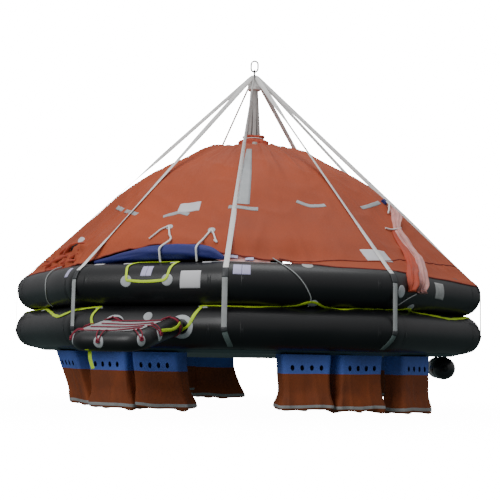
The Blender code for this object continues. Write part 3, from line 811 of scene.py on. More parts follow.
def make_canopy():
    rows = [[] for _ in range(ROWS + 1)]
    uv = [[] for _ in range(ROWS + 1)]
    hem = []
    for column in range(COLUMNS):
        azimuth = 180 + 360 * column / COLUMNS
        start = hem_start(azimuth)
        hem.append(on_canopy(azimuth, start + 0.004, -0.002))
        for i in range(ROWS + 1):
            v = mix(start, SLOPE, i / ROWS)
            rows[i].append(on_canopy(azimuth, v))
            uv[i].append(((azimuth - 180) * 0.036, v))
    sheet = grid(
        "canopy_sheet", rows, ORANGE, "orange_fabric", wrap=True,
        uv=[point for row in uv for point in row], turn_u=360 * 0.036,
    )
    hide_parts("canopy_crown", *[f"canopy_gore_{n:02d}" for n in range(1, 11)])
    # The hem's rope is drawn in the darker orange: painted shade along the edge.
    edge = rope("canopy_hem", hem, 0.008, ORANGE_HEM_SHADE, cyclic=True)
    folds = [edge] + make_canopy_folds()
    canopy_cut_area()


STRAP_DRIFT = {0: (-0.1, 1.1), 1: (-0.2, -1.4), 9: (0.8, 0.4)}  # degrees: whole strap, its tail
STRAP_TWISTS = {  # share of the way down from the link, turn of the webbing in degrees
    0: ((0.0, 80), (0.20, 80), (0.38, 62), (0.60, 45), (0.90, 0)),
    1: ((0.0, -45), (0.10, -45), (0.30, 20), (0.70, 20), (0.95, 0)),
    2: ((0.0, -60), (0.70, -60), (0.92, 0)),
    3: ((0.0, -60), (0.45, -60), (0.80, 0)),
    4: ((0.0, 50), (0.45, 50), (0.80, 0)),
    5: ((0.0, 80), (0.50, 80), (0.85, 0)),
    6: ((0.0, 35), (0.50, 35), (0.85, 0)),
    7: ((0.0, 60), (0.35, 60), (0.70, 0)),
    8: ((0.0, 60), (0.38, 60), (0.56, 0)),
    9: ((0.0, 50), (0.28, 50), (0.50, 0), (0.80, -20), (0.97, 0)),
}
UPPER_KEEPER_H = 0.286
LOWER_KEEPER_H = -0.205


def make_straps():
    for corner in range(SIDES):
        drifted, tail = STRAP_DRIFT.get(corner, (0.0, 0.3))
        azimuth = corner * BAY + drifted
        outwards = Vector((math.sin(math.radians(azimuth)), -math.cos(math.radians(azimuth)), 0))
        gap = SEAT + STRAP_T / 2
        first = polar(azimuth, STRAP_TOP_R, STRAP_TOP_H)
        wrap = []
        for level, turns in ((1, range(57, -1, -3)), (-1, range(0, -64, -4))):
            for degrees in turns:
                turn = math.radians(degrees)
                drift = tail * smooth(0, -60, degrees) if level < 0 else 0
                place = on_tube(level, azimuth + drift, turn, gap)
                wrap.append((place, outwards * math.cos(turn) + Vector((0, 0, math.sin(turn)))))
        ahead = wrap[0][0] - first
        face = Vector(
            (outwards.x * -ahead.z, outwards.y * -ahead.z, ahead.to_2d().length)
        ).normalized()
        steps = 30
        over_pin = [polar(azimuth, r, h) for r, h in ((0.004, PIN_H + 0.026), (0.022, PIN_H + 0.023), (0.038, PIN_H + 0.013))]
        points = over_pin + [first.lerp(wrap[0][0], i / steps) for i in range(steps)]
        points += [p for p, _ in wrap]
        axis = ahead.normalized()
        twist = []
        for i in range(steps):
            degrees = along(STRAP_TWISTS[corner], i / steps)
            twist.append(Quaternion(axis, -math.radians(degrees)) @ face)
        normals = [twist[0]] * 3 + twist + [n for _, n in wrap]
        strap = ribbon(
            f"strap_webbing_{corner + 1:02d}", points, normals, STRAP_W, STRAP_T, WHITE, "white_webbing"
        )
        strap.data.materials.append(GREY_WEB_AND_STRAP_SHADE)
        strap.data.materials.append(STRAP_TAIL_SHADE)
        # Painted shade on one white webbing: grey between the keepers and teal below the lower keeper, darker the lower
        # the face.
        for facet in strap.data.polygons:
            height = facet.center.z + HOOK_H
            if height < LOWER_KEEPER_H:
                facet.material_index = 2
            elif height < UPPER_KEEPER_H:
                facet.material_index = 1
        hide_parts(f"lifting_strap_{corner + 1:02d}")
        for name, middle in (("upper", UPPER_KEEPER_H), ("lower", LOWER_KEEPER_H)):
            inside = [
                (p, n) for p, n in wrap if abs(p.z + HOOK_H - middle) < 0.046
            ]
            if len(inside) < 3:
                low = polar(azimuth, (RING_R + 0.205) * corner_share(azimuth) + gap, middle - 0.035)
                high = polar(azimuth, (RING_R + 0.205) * corner_share(azimuth) + gap, middle + 0.035)
                inside = [(high.lerp(low, i / 4), outwards) for i in range(5)]
            ribbon(
                f"strap_keeper_{name}_{corner + 1:02d}", [p for p, _ in inside], [n for _, n in inside],
                0.056, 0.012, DARK, "steel",
            )


def make_inner_straps():
    straps = []
    for n in range(8):
        azimuth = n * 45 + 10
        line = spline(
            [
                polar(azimuth, 0.040, HEAD_FOOT_H + 0.02),
                polar(azimuth + 6, 0.056, 2.40),
                polar(azimuth + 3, 0.072, 2.15),
                polar(azimuth, 0.078, 2.04),
                polar(azimuth, 0.074, 1.90),
                polar(azimuth - 6, 0.052, 1.2),
                polar(azimuth, 0.052, 0.6),
                polar(azimuth, 0.050, -0.395),
            ],
            8,
        )
        normals = [Vector((p.x, p.y, 0)).normalized() for p in line]
        straps.append(ribbon(f"inner_strap_{n + 1}", line, normals, 0.044, 0.004, INNER_WEB, "white_webbing"))
    for strap in straps:
        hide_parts("inner_strap_bundle")


COLLAR = (  # radius, height above the crown
    (0.220, -0.012), (0.208, 0.010), (0.190, 0.032), (0.176, 0.056), (0.170, 0.080), (0.172, 0.102),
    (0.158, 0.120), (0.124, 0.130), (0.108, 0.140), (0.112, 0.152), (0.118, 0.166), (0.114, 0.180), (0.098, 0.186), (0.082, 0.170),
)


def make_collar():
    rows = []
    for k, (radius, rise) in enumerate(COLLAR):
        row = []
        for j in range(180):
            azimuth = 360 * j / 180
            turn = math.radians(azimuth)
            x, y = math.cos(turn), math.sin(turn)
            pleat = math.cos(turn * 17 + 2.2 * noise.noise(Vector((x * 1.5, y * 1.5, 1.0))))
            lump = noise.noise(Vector((x * 1.3, y * 1.3, rise * 9 + 4)))
            tight = 0.35 if k == 8 else 1.0
            reach = radius + (0.007 * pleat + 0.020 * lump) * tight * smooth(-0.02, 0.03, rise)
            row.append(polar(azimuth, reach, CROWN_TOP_H + rise + 0.012 * lump * smooth(0.03, 0.12, rise)))
        rows.append(row)
    piece = grid("collar_gathers", rows, ORANGE_BRIGHT, "orange_fabric", wrap=True)
    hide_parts("canopy_collar")
    points = [polar(a, 0.113, CROWN_TOP_H + 0.141) for a in range(0, 360, 10)]
    rope("collar_tie", points, 0.005, WHITE, cyclic=True)


BAG_COLUMNS = 144
BAND_ROWS = (0.0, 0.03, 0.06, 0.085, 0.093, 0.101, 0.109, 0.117, 0.125, 0.133, 0.141, 0.149, 0.160, 0.175)
HOLE = (0.019, 0.026, 0.121)  # half width, half height, depth of its middle below the bag's top
HOLE_SPACING = 0.096
BAG_LEANS = {  # a bag's foot: to its side, outwards, longer, wider; the whole bag wider
    1: (0.010, 0.01, 0.0, 0.0), 2: (0.0, 0.0, 0.018, 0.0), 3: (0.012, 0.0, 0.045, 0.0), 6: (0.03, 0.0, 0.0, 0.0),
    7: (-0.080, -0.02, 0.075, 0.10, 0.07), 8: (-0.04, 0.0, 0.0, 0.0, 0.14), 10: (0.120, -0.140, 0.030, 0.0),
    11: (0.060, -0.02, 0.030, 0.04, 0.05), 12: (0.085, 0.0, 0.015, 0.02),
}


def rounded_box(width, depth, corner, share):
    """The point at that share of the way round a rounded rectangle, from the middle of its outer side."""
    x, y = width / 2 - corner, depth / 2 - corner
    bend = corner * math.pi / 2
    total = 4 * x + 4 * y + 4 * bend
    left = (share % 1) * total
    stretches = ((x, "out"), (bend, 0), (2 * y, "right"), (bend, 1), (2 * x, "in"), (bend, 2), (2 * y, "left"), (bend, 3), (x, "out2"))
    centres = ((x, y), (x, -y), (-x, -y), (-x, y))
    for length, kind in stretches:
        if left <= length:
            break
        left -= length
    if kind == "out":
        return left, depth / 2
    if kind == "right":
        return width / 2, y - left
    if kind == "in":
        return x - left, -depth / 2
    if kind == "left":
        return -width / 2, left - y
    if kind == "out2":
        return left - x, depth / 2
    cx, cy = centres[kind]
    turn = math.radians(90 - 90 * kind) - left / corner
    return cx + corner * math.cos(turn), cy + corner * math.sin(turn)


def bag_point(number, azimuth, share, down):
    """A point of a bag's cloth, down metres below its top."""
    turn = math.radians(azimuth)
    sideways = Vector((math.cos(turn), math.sin(turn), 0))
    outwards = Vector((math.sin(turn), -math.cos(turn), 0))
    length = BAG_TOP_H - BAG_HEM_H
    lean = BAG_LEANS.get(number, (0.01, 0.0, 0.0, 0.0))
    t = down / length
    whole = lean[4] if len(lean) > 4 else 0.0
    width = 0.482 + whole - 0.022 * math.sin(math.pi * min(t, 1)) + 0.045 * smooth(0.75, 1.0, t) + lean[3] * smooth(0.3, 1.0, t)
    depth = 0.245 - 0.010 * math.sin(math.pi * min(t, 1)) + 0.03 * smooth(0.7, 1.0, t)
    x, y = rounded_box(width, depth, 0.035, share)
    loose = smooth(0.15, 0.7, t)
    ridge = 1 - abs(noise.noise(Vector((x * 9, y * 9 + number * 3, t * 0.7)))) * 3
    fold = loose * (0.010 * max(ridge, 0) - 0.004 + 0.014 * noise.noise(Vector((x * 5, y * 5 + number * 7, t * 1.2 + 2))))
    billow = 0.012 * math.sin(math.pi * min(t, 1)) * noise.noise(Vector((x * 3, number * 5, t * 2)))
    x2 = x * (1 + (fold + billow) / 0.30) + lean[0] * t ** 1.5
    y2 = y * (1 + (fold + billow) / 0.13) + lean[1] * t
    drop = down + lean[2] * t * t + 0.014 * t * noise.noise(Vector((x * 4, y * 4 + number, 8.0)))
    return polar(azimuth, BAG_OUT, BAG_TOP_H - drop) + sideways * x2 + outwards * y2


def in_hole(share, down, perimeter):
    """The middle of the hole round that place in the band, or None."""
    along_side = ((share + 0.5) % 1 - 0.5) * perimeter
    for index in range(4):
        middle = (index - 1.5) * HOLE_SPACING
        off = (along_side - middle + perimeter / 2) % perimeter - perimeter / 2
        if (off / HOLE[0]) ** 2 + ((down - HOLE[2]) / HOLE[1]) ** 2 < 1:
            return middle, off
    return None


def make_bags():
    azimuths = []
    for azimuth in BAG_AZIMUTHS:
        azimuths += [azimuth, 180 - azimuth, 180 + azimuth, 360 - azimuth]
    for number, azimuth in enumerate(sorted(azimuths), 1):
        make_bag(number, azimuth)


def make_bag(number, azimuth):
    length = BAG_TOP_H - BAG_HEM_H
    downs = list(BAND_ROWS)
    downs += [mix(BAND_H, length - 0.012, i / 16) for i in range(1, 17)]
    downs += [length, length + 0.014]
    perimeter = 2 * (0.488 + 0.245) - 8 * 0.035 + math.tau * 0.035
    places = [[(j / BAG_COLUMNS, down) for j in range(BAG_COLUMNS)] for down in downs]
    cut = set()
    for i in range(3, 13):
        for j in range(BAG_COLUMNS):
            centre = ((j + 0.5) / BAG_COLUMNS, (downs[i] + downs[i + 1]) / 2)
            if in_hole(*centre, perimeter):
                cut.add((i, j))
    for i, j in cut:
        middle, _ = in_hole((j + 0.5) / BAG_COLUMNS, (downs[i] + downs[i + 1]) / 2, perimeter)
        for di, dj in ((0, 0), (0, 1), (1, 0), (1, 1)):
            k, n = i + di, (j + dj) % BAG_COLUMNS
            around = [(k + a, (n + b) % BAG_COLUMNS) in cut for a in (-1, 0) for b in (-1, 0)]
            if all(around):
                continue
            off = (n / BAG_COLUMNS * perimeter - middle + perimeter / 2) % perimeter - perimeter / 2
            rise = downs[k] - HOLE[2]
            scale = 1 / max(math.hypot(off / HOLE[0], rise / HOLE[1]), 1e-6)
            places[k][n] = (((middle + off * scale) / perimeter) % 1, HOLE[2] + rise * scale)
    rows = [[bag_point(number, azimuth, share, down) for share, down in row] for row in places]
    foot = rows[-1]
    centre = sum(foot, Vector()) / len(foot)
    for inset, sag in ((0.03, 0.010), (0.12, 0.020), (0.45, 0.014), (0.80, 0.008), (0.999, 0.006)):
        ring = []
        for j, point in enumerate(foot):
            lump = max(0, noise.noise(Vector((j * 0.06, number * 2.0, 1.0)))) * 0.05 * (1 - inset)
            ring.append(point.lerp(centre, inset) - Vector((0, 0, sag + lump)))
        rows.append(ring)
    uv = [(j * 0.0098, i * 0.016) for i in range(len(rows)) for j in range(BAG_COLUMNS)]
    bag = grid(f"bag_shell_{number:02d}", rows, BAG_ORANGE, "bag_fabric", wrap=True, uv=uv)
    bag.data.materials.append(BAG_BLUE)
    bag.data.materials.append(HEM_GREY)
    band, hem = len(BAND_ROWS) - 1, len(BAND_ROWS) + 16
    for face in bag.data.polygons:
        row = face.index // BAG_COLUMNS
        if row < band:
            face.material_index = 1
        elif hem - 1 <= row <= hem:
            face.material_index = 2
    bm = bmesh.new()
    bm.from_mesh(bag.data)
    bm.faces.ensure_lookup_table()
    bmesh.ops.delete(bm, geom=[bm.faces[i * BAG_COLUMNS + j] for i, j in cut], context="FACES")
    bm.to_mesh(bag.data)
    bm.free()
    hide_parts(f"ballast_bag_{number:02d}")


def make_gas_cylinder():
    profile = [(0.0, 0.475), (0.05, 0.470), (0.085, 0.452), (0.108, 0.422), (GAS_R, 0.385)]
    rows = []
    for radius, reach in profile + [(r, -l) for r, l in reversed(profile)]:
        row = []
        for j in range(48):
            turn = math.tau * j / 48
            row.append(Vector((GAS_OUT + max(radius, 0.001) * math.cos(turn), reach, at_height(GAS_H) + max(radius, 0.001) * math.sin(turn))))
        rows.append(row)
    piece = grid("gas_bottle", rows, GAS, "bottle_black", wrap=True, caps=True)
    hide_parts("gas_cylinder")
    for n, y in enumerate((-0.26, 0.26), 1):
        points, normals = [], []
        for degrees in range(0, 360, 10):
            turn = math.radians(degrees)
            out = Vector((math.cos(turn), 0, math.sin(turn)))
            points.append(Vector((GAS_OUT, y, at_height(GAS_H))) + out * (GAS_R + 0.0035))
            normals.append(out)
        ribbon(f"gas_sling_{n}", points, normals, 0.045, 0.004, GREY_WEB_AND_STRAP_SHADE, "white_webbing", cyclic=True)
    for name, y, away in (("front", -0.475, -1), ("rear", 0.475, 1)):
        rows = []
        for radius, reach in ((0.001, 0.030), (0.026, 0.030), (0.030, 0.026), (0.030, 0.012), (0.036, 0.010), (0.036, -0.004)):
            rows.append([Vector((GAS_OUT + radius * math.cos(math.tau * j / 24), y + away * reach, at_height(GAS_H) + radius * math.sin(math.tau * j / 24))) for j in range(24)])
        grid(f"gas_fitting_{name}", rows, STEEL, "steel", wrap=True)


def ramp_frame():
    turn = math.radians(RAMP_AZIMUTH)
    sideways = Vector((math.cos(turn), math.sin(turn), 0))
    outwards = Vector((math.sin(turn), -math.cos(turn), 0))
    origin = polar(RAMP_AZIMUTH, RAMP_HINGE_R, RAMP_HINGE_H) + sideways * RAMP_ALONG
    ahead = outwards * math.cos(RAMP_DIP) - Vector((0, 0, math.sin(RAMP_DIP)))
    up = outwards * math.sin(RAMP_DIP) + Vector((0, 0, math.cos(RAMP_DIP)))
    return origin, sideways, ahead, up


def on_ramp(across, out, above=0.0):
    origin, sideways, ahead, up = ramp_frame()
    return origin + sideways * across + ahead * out + up * above


def make_ramp():
    r = 0.115
    path = [(RAMP_HALF_W, out) for out in (-0.0835, -0.078, -0.066, -0.046, -0.02, 0.0, 0.1, 0.2, 0.3, 0.4, 0.5)]
    radii = [0.010, 0.034, 0.054, 0.0715, 0.083]
    corner = (RAMP_HALF_W - r, RAMP_LENGTH - r)
    path += [(corner[0] + r * math.cos(math.radians(a)), corner[1] + r * math.sin(math.radians(a))) for a in range(0, 91, 10)]
    path += [(0.1, RAMP_LENGTH), (0.0, RAMP_LENGTH)]
    path += [(-x, y) for x, y in reversed(path[:-1])]
    radii += [RAMP_R] * (len(path) - 10) + list(reversed(radii))
    points = [on_ramp(x, y) for x, y in path]
    tube = tube_loft("ramp_tube_skin", points, radii, RUBBER, "black_rubber", body="ramp")
    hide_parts("ramp_tube")
    rows = []
    for i in range(41):
        row = []
        for j in range(33):
            x = mix(-RAMP_HALF_W, RAMP_HALF_W, j / 32)
            front = mix(RAMP_LENGTH - 0.012, RAMP_LENGTH - 0.090, smooth(-0.15, RAMP_HALF_W, x))
            out = mix(0.185, front, i / 40)
            sag = (1 - (x / RAMP_HALF_W) ** 2) * (0.010 + 0.005 * math.cos(i * 0.47))
            row.append(on_ramp(x, out, RAMP_R + 0.004 - sag + 0.003 * rough(x * 8, out * 12, 2.0)))
        rows.append(row)
    deck = grid("ramp_deck_sheet", rows, DECK, "deck_fabric", body="ramp")
    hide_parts("ramp_deck")
    make_ramp_lashings()


RAMP_CORNER = 0.115
RAMP_CORDS = (  # cords along the deck: (across, out) places
    ((-0.21, 0.200), (0.05, 0.195), (0.30, 0.200)),
    ((-0.235, 0.330), (-0.05, 0.345), (0.10, 0.345), (0.27, 0.320)),
    ((-0.255, 0.480), (-0.10, 0.470), (0.08, 0.455), (0.24, 0.430)),
    ((-0.275, 0.635), (-0.12, 0.630), (0.02, 0.610), (0.17, 0.560), (0.27, 0.500)),
)
RAMP_OVALS = (  # across, out, direction the tube faces, angle round it, half width
    (-0.03, RAMP_LENGTH, 90, 8, 0.046), (0.0, 0.0, 38, 10, 0.036), (RAMP_HALF_W, 0.42, 0, 5, 0.036),
    (-RAMP_HALF_W, 0.42, 180, 5, 0.036), (-0.0, 0.0, 142, 10, 0.036),
)


def ramp_skin(across, out, facing, degrees):
    """Local metres (along, up, above) on the ramp's tube. A slanted facing is on a corner."""

    def surface(u, v, above=0.0):
        turn = math.radians(degrees) + v / RAMP_R
        reach = (RAMP_R + above) * math.cos(turn)
        rise = (RAMP_R + above) * math.sin(turn)
        if facing in (0, 90, 180):
            way = math.radians(facing)
            return on_ramp(across + math.cos(way) * reach - math.sin(way) * u, out + math.sin(way) * reach + math.cos(way) * u, rise)
        way = math.radians(facing) + u / (RAMP_CORNER + RAMP_R)
        side = 1 if facing < 90 else -1
        centre = (side * (RAMP_HALF_W - RAMP_CORNER), RAMP_LENGTH - RAMP_CORNER)
        return on_ramp(centre[0] + math.cos(way) * (RAMP_CORNER + reach), centre[1] + math.sin(way) * (RAMP_CORNER + reach), rise)

    return surface


def make_ramp_lashings():
    top = RAMP_R + 0.010
    for n, path in enumerate(RAMP_CORDS, 1):
        places = []
        for k, (x, out) in enumerate(path):
            dip = (1 - (x / RAMP_HALF_W) ** 2) * 0.010
            places.append(on_ramp(x, out + 0.008 * (-1) ** k, top - dip))
        cord_on(f"ramp_cord_{n}", places, 0.0055, RED, "ramp")
    for n, (x, out, facing, degrees, half) in enumerate(RAMP_OVALS, 1):
        surface = ramp_skin(x, out, facing, degrees)
        patch(f"ramp_oval_{n}", surface, round_outline(half, 0.055 / half), GREY, body="ramp")
        for side in (-1, 1):
            strand = [surface(side * 0.004, 0.004, 0.010), surface(side * 0.018, 0.045, 0.012), surface(side * 0.030, 0.095, 0.014), surface(side * 0.036, 0.135, 0.010)]
            cord_on(f"ramp_lashing_{n}_{'a' if side < 0 else 'b'}", strand, 0.0055, RED, "ramp")
        cord_on(
            f"ramp_knot_{n}",
            [surface(0.014 * math.cos(t * 1.9), 0.008 + 0.014 * math.sin(t * 1.9), 0.010 + 0.002 * t) for t in range(6)],
            0.007, RED, "ramp",
        )
    for side in (-1, 1):
        label = "left" if side < 0 else "right"
        coil = []
        for i in range(49):
            turn = math.tau * i / 16
            reach = RAMP_R * 0.93 + 0.010
            coil.append(on_ramp(side * RAMP_HALF_W + reach * math.cos(turn), 0.02 + 0.035 * i / 48 + 0.012 * math.sin(turn), reach * math.sin(turn)))
        rope(f"ramp_arm_lashing_{label}", coil, 0.0045, RED, "ramp")
        cord_on(
            f"ramp_arm_cord_{label}",
            [on_ramp(side * RAMP_HALF_W, 0.04, top), on_ramp(side * (RAMP_HALF_W - 0.02), 0.12, top), on_ramp(side * (RAMP_HALF_W - 0.01), 0.20, top)],
            0.007, RED, "ramp",
        )
    hang = ramp_skin(-0.165, RAMP_LENGTH, 90, -78)
    start = hang(0, 0, 0.003)
    drop = [start, start + Vector((0.004, 0, -0.05)), start + Vector((0.018, 0, -0.10)), start + Vector((0.034, 0, -0.145))]
    line = spline([hang(0, 0.05, 0.003)] + drop, 6)
    outwards = ramp_frame()[2]
    ribbon("ramp_pull_strap", line, [outwards] * len(line), 0.036, 0.004, YELLOW, "yellow_webbing", body="ramp")
    arm = ramp_skin(RAMP_HALF_W, 0.38, 0, 24)
    end = [arm(0, 0, 0.008), arm(-0.08, -0.012, 0.014), arm(-0.16, -0.022, 0.018), arm(-0.24, -0.018, 0.024), arm(-0.31, 0.0, 0.030)]
    sideways = ramp_frame()[1]
    line = spline(end, 6)
    ribbon("ramp_line_end", line, [sideways] * len(line), 0.028, 0.005, YELLOW, "yellow_webbing", body="ramp")


def make_arches():
    half = [Vector((x, 0, at_height(h))) for x, h in ARCH_PATH]
    for name, y in (("front", -ARCH_Y), ("rear", ARCH_Y)):
        points = [Vector((p.x, y, p.z)) for p in half] + [Vector((-p.x, y, p.z)) for p in reversed(half)]
        line = spline(points, 6)
        arch = tube_loft(f"arch_tube_{name}", line, [ARCH_R] * len(line), RUBBER, "black_rubber")
        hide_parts(f"canopy_arch_{name}")


def roll_line(roll, middle):
    points, radii = [], []
    for azimuth, height, radius in roll:
        share = corner_share(middle + azimuth)
        points.append(polar(middle + azimuth, (RING_R - 0.03) * share, height))
        radii.append(radius)
    return points, radii


FRONT_ROLL = (  # azimuth from the doorway's middle, height, radius
    (-17.0, 0.418, 0.014), (-13.0, 0.440, 0.030), (-9.0, 0.462, 0.050), (-2.0, 0.490, 0.070),
    (5.0, 0.500, 0.074), (10.0, 0.498, 0.072), (13.5, 0.482, 0.056), (15.5, 0.455, 0.034), (17.0, 0.432, 0.014),
)
REAR_ROLL = (
    (-11.0, 0.432, 0.030), (-9.5, 0.448, 0.046), (-5.0, 0.452, 0.050), (0.0, 0.454, 0.052),
    (5.0, 0.452, 0.050), (9.5, 0.448, 0.046), (11.0, 0.432, 0.030),
)


def make_rolls():
    for name, roll, middle in (("front", FRONT_ROLL, -18), ("rear", REAR_ROLL, 162)):
        points, radii = roll_line(roll, middle)
        line = spline(points, 8)
        fine = []
        for i in range(len(radii) - 1):
            fine += [mix(radii[i], radii[i + 1], k / 8) for k in range(8)]
        fine.append(radii[-1])

        def folds(length, turn):
            return 1 + 0.10 * rough(length * 5, turn * 1.4, 2.0) + 0.05 * math.cos(turn * 5 + length * 8)

        piece = tube_loft(f"door_bundle_{name}", line, fine, BLUE, "blue_fabric", shape=folds, around=40)
        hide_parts(f"door_roll_{name}")


FLAP_ON_CANOPY = (  # azimuth, height, half width
    (66.5, 1.130, 0.024), (64.0, 1.010, 0.052), (57.8, 0.865, 0.034),
    (54.2, 0.713, 0.052), (52.2, 0.570, 0.055), (50.4, 0.470, 0.057),
)
FLAP_ON_TUBE = ((47.4, 60.0, 0.058), (45.7, 40.0, 0.058), (44.7, 14.0, 0.058), (44.3, -9.0, 0.058))
FOLD_ON_CANOPY = (
    (54.5, 0.830, 0.014), (51.6, 0.690, 0.026), (49.6, 0.570, 0.036), (48.0, 0.470, 0.046),
)
FOLD_ON_TUBE = ((44.6, 60.0, 0.050), (42.4, 38.0, 0.052), (41.2, 12.0, 0.054), (40.7, -8.0, 0.052))


def hung_cloth(name, on_cloth, on_the_tube, flat, pleats, finish, slot, seed):
    """A gathered band of cloth that lies down the canopy and over the upper tube."""
    points, radii = [], []
    for azimuth, height, radius in on_cloth:
        points.append(on_canopy(azimuth, slope_at(height), radius * flat + 0.004))
        radii.append(radius)
    for azimuth, degrees, radius in on_the_tube:
        points.append(on_tube(1, azimuth, math.radians(degrees), radius * flat + 0.006))
        radii.append(radius)
    line = spline(points, 10)
    fine = []
    for i in range(len(radii) - 1):
        fine += [mix(radii[i], radii[i + 1], smooth(0, 1, k / 10)) for k in range(10)]
    fine.append(radii[-1])

    def folds(length, turn):
        oval = 1 / math.sqrt(math.cos(turn) ** 2 + (math.sin(turn) / flat) ** 2)
        pleat = 0.20 * math.cos(turn * pleats + 2.4 * rough(length * 2.5, turn, seed))
        return oval * (1 + pleat + 0.12 * rough(length * 9, turn * 2, seed + 5))

    piece = tube_loft(name, line, fine, finish, slot, shape=folds, around=96)
    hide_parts("port_sleeve")


def make_sleeve():
    hung_cloth("port_flap", FLAP_ON_CANOPY, FLAP_ON_TUBE, 0.55, 6, PINK, "pink_lining", 1.0)
    hung_cloth("port_fold", FOLD_ON_CANOPY, FOLD_ON_TUBE, 0.45, 4, ORANGE_BRIGHT, "pink_lining", 9.0)
    patch("flap_corner", canopy_surface(66.8, 1.115), box_outline(0.075, 0.060, 20), BLUE, "blue_fabric", thick=0.030)
    cord_on(
        "flap_tie_top", [on_canopy(68.3, 1.137, 0.010), on_canopy(64.5, 1.02, 0.050), on_canopy(61.3, 0.906, 0.014)],
        0.009, WHITE,
    )
    cord_on(
        "flap_tie_middle",
        [on_canopy(51.2, 0.631, 0.010), on_canopy(53.6, 0.612, 0.014), on_canopy(57.6, 0.62, 0.040), on_canopy(60.0, 0.655, 0.020)],
        0.009, WHITE,
    )
    patch("flap_foot_patch", tube_surface(1, 37.9, -10), round_outline(0.050, 1.2), GREY)
    cord_on(
        "flap_cord",
        [on_tube(1, 43.0, math.radians(-12), 0.02), on_tube(1, 40.5, math.radians(-28), 0.006), on_tube(1, 38.4, math.radians(-50), 0.005)],
        0.005, GREY_WEB_AND_STRAP_SHADE,
    )


LINE_TABLE = (  # azimuth, angle up the lower tube
    (-66, 70), (-60, 72), (-52, 50), (-44, 29), (-38, 42), (-31.2, 64), (-30.7, 56), (-30.9, 20),
    (-29, -12), (-24, -20), (-18, -20), (-12, -14), (-9.2, -8), (-7.6, 4), (-6.6, 30), (-5.6, 56), (-5.2, 70),
    (-1, 69), (5, 66), (8, 70), (12, 80), (15, 92), (18.5, 110), (22, 88), (26, 68),
    (30.5, 80), (35.5, 80), (40, 88), (43.5, 98), (46, 80), (49, 66), (55, 54), (60, 47), (67.5, 55), (76, 70),
    (84, 50), (92, 44), (100, 52), (108, 70), (116, 50), (124, 43), (132, 52), (140, 70),
    (148, 50), (157, 42), (166, 52), (174, 70), (182, 52), (190, 44), (198, 54), (206, 70),
    (214, 50), (222, 44), (230, 54), (238, 70), (246, 50), (254, 43), (262, 54), (270, 70), (280, 48), (288, 56),
)
LINE_PATCHES = (-60, -31, -5.2, 76, 108, 140, 174, 206, 238, 270)


def make_lifeline():
    flat = [Vector((a, t, 0)) for a, t in LINE_TABLE] + [Vector((294, 70, 0))]
    line = spline(flat, 7)[:-1]
    points, normals = [], []
    for i, at in enumerate(line):
        turn = math.radians(at.y + 1.5 * rough(at.x * 0.5, 0.0, 4.0))
        level = -1
        if at.y > 80:  # tied up to the upper tube
            level, turn = 1, math.radians(at.y - 160)
        points.append(on_tube(level, at.x, turn, 0.006 + 0.003 * rough(at.x * 0.3, 1.0, 2.0)))
        side = polar(at.x, 1, HOOK_H)
        normals.append(Vector((side.x * math.cos(turn), side.y * math.cos(turn), math.sin(turn))))
    piece = ribbon(
        "lifeline_webbing", points, normals, 0.036, 0.004, YELLOW, "yellow_webbing", cyclic=True,
        widths=[0.036 * (0.82 + 0.45 * rough(at.x * 0.55, 0.0, 8.0)) for at in line],
    )
    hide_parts("lifeline")
    for n, azimuth in enumerate(LINE_PATCHES, 1):
        turn = dict(LINE_TABLE).get(azimuth, 68)
        patch(f"lifeline_patch_{n:02d}", tube_surface(-1, azimuth, turn - 4), box_outline(0.070, 0.050, 8, 0.5), GREY)


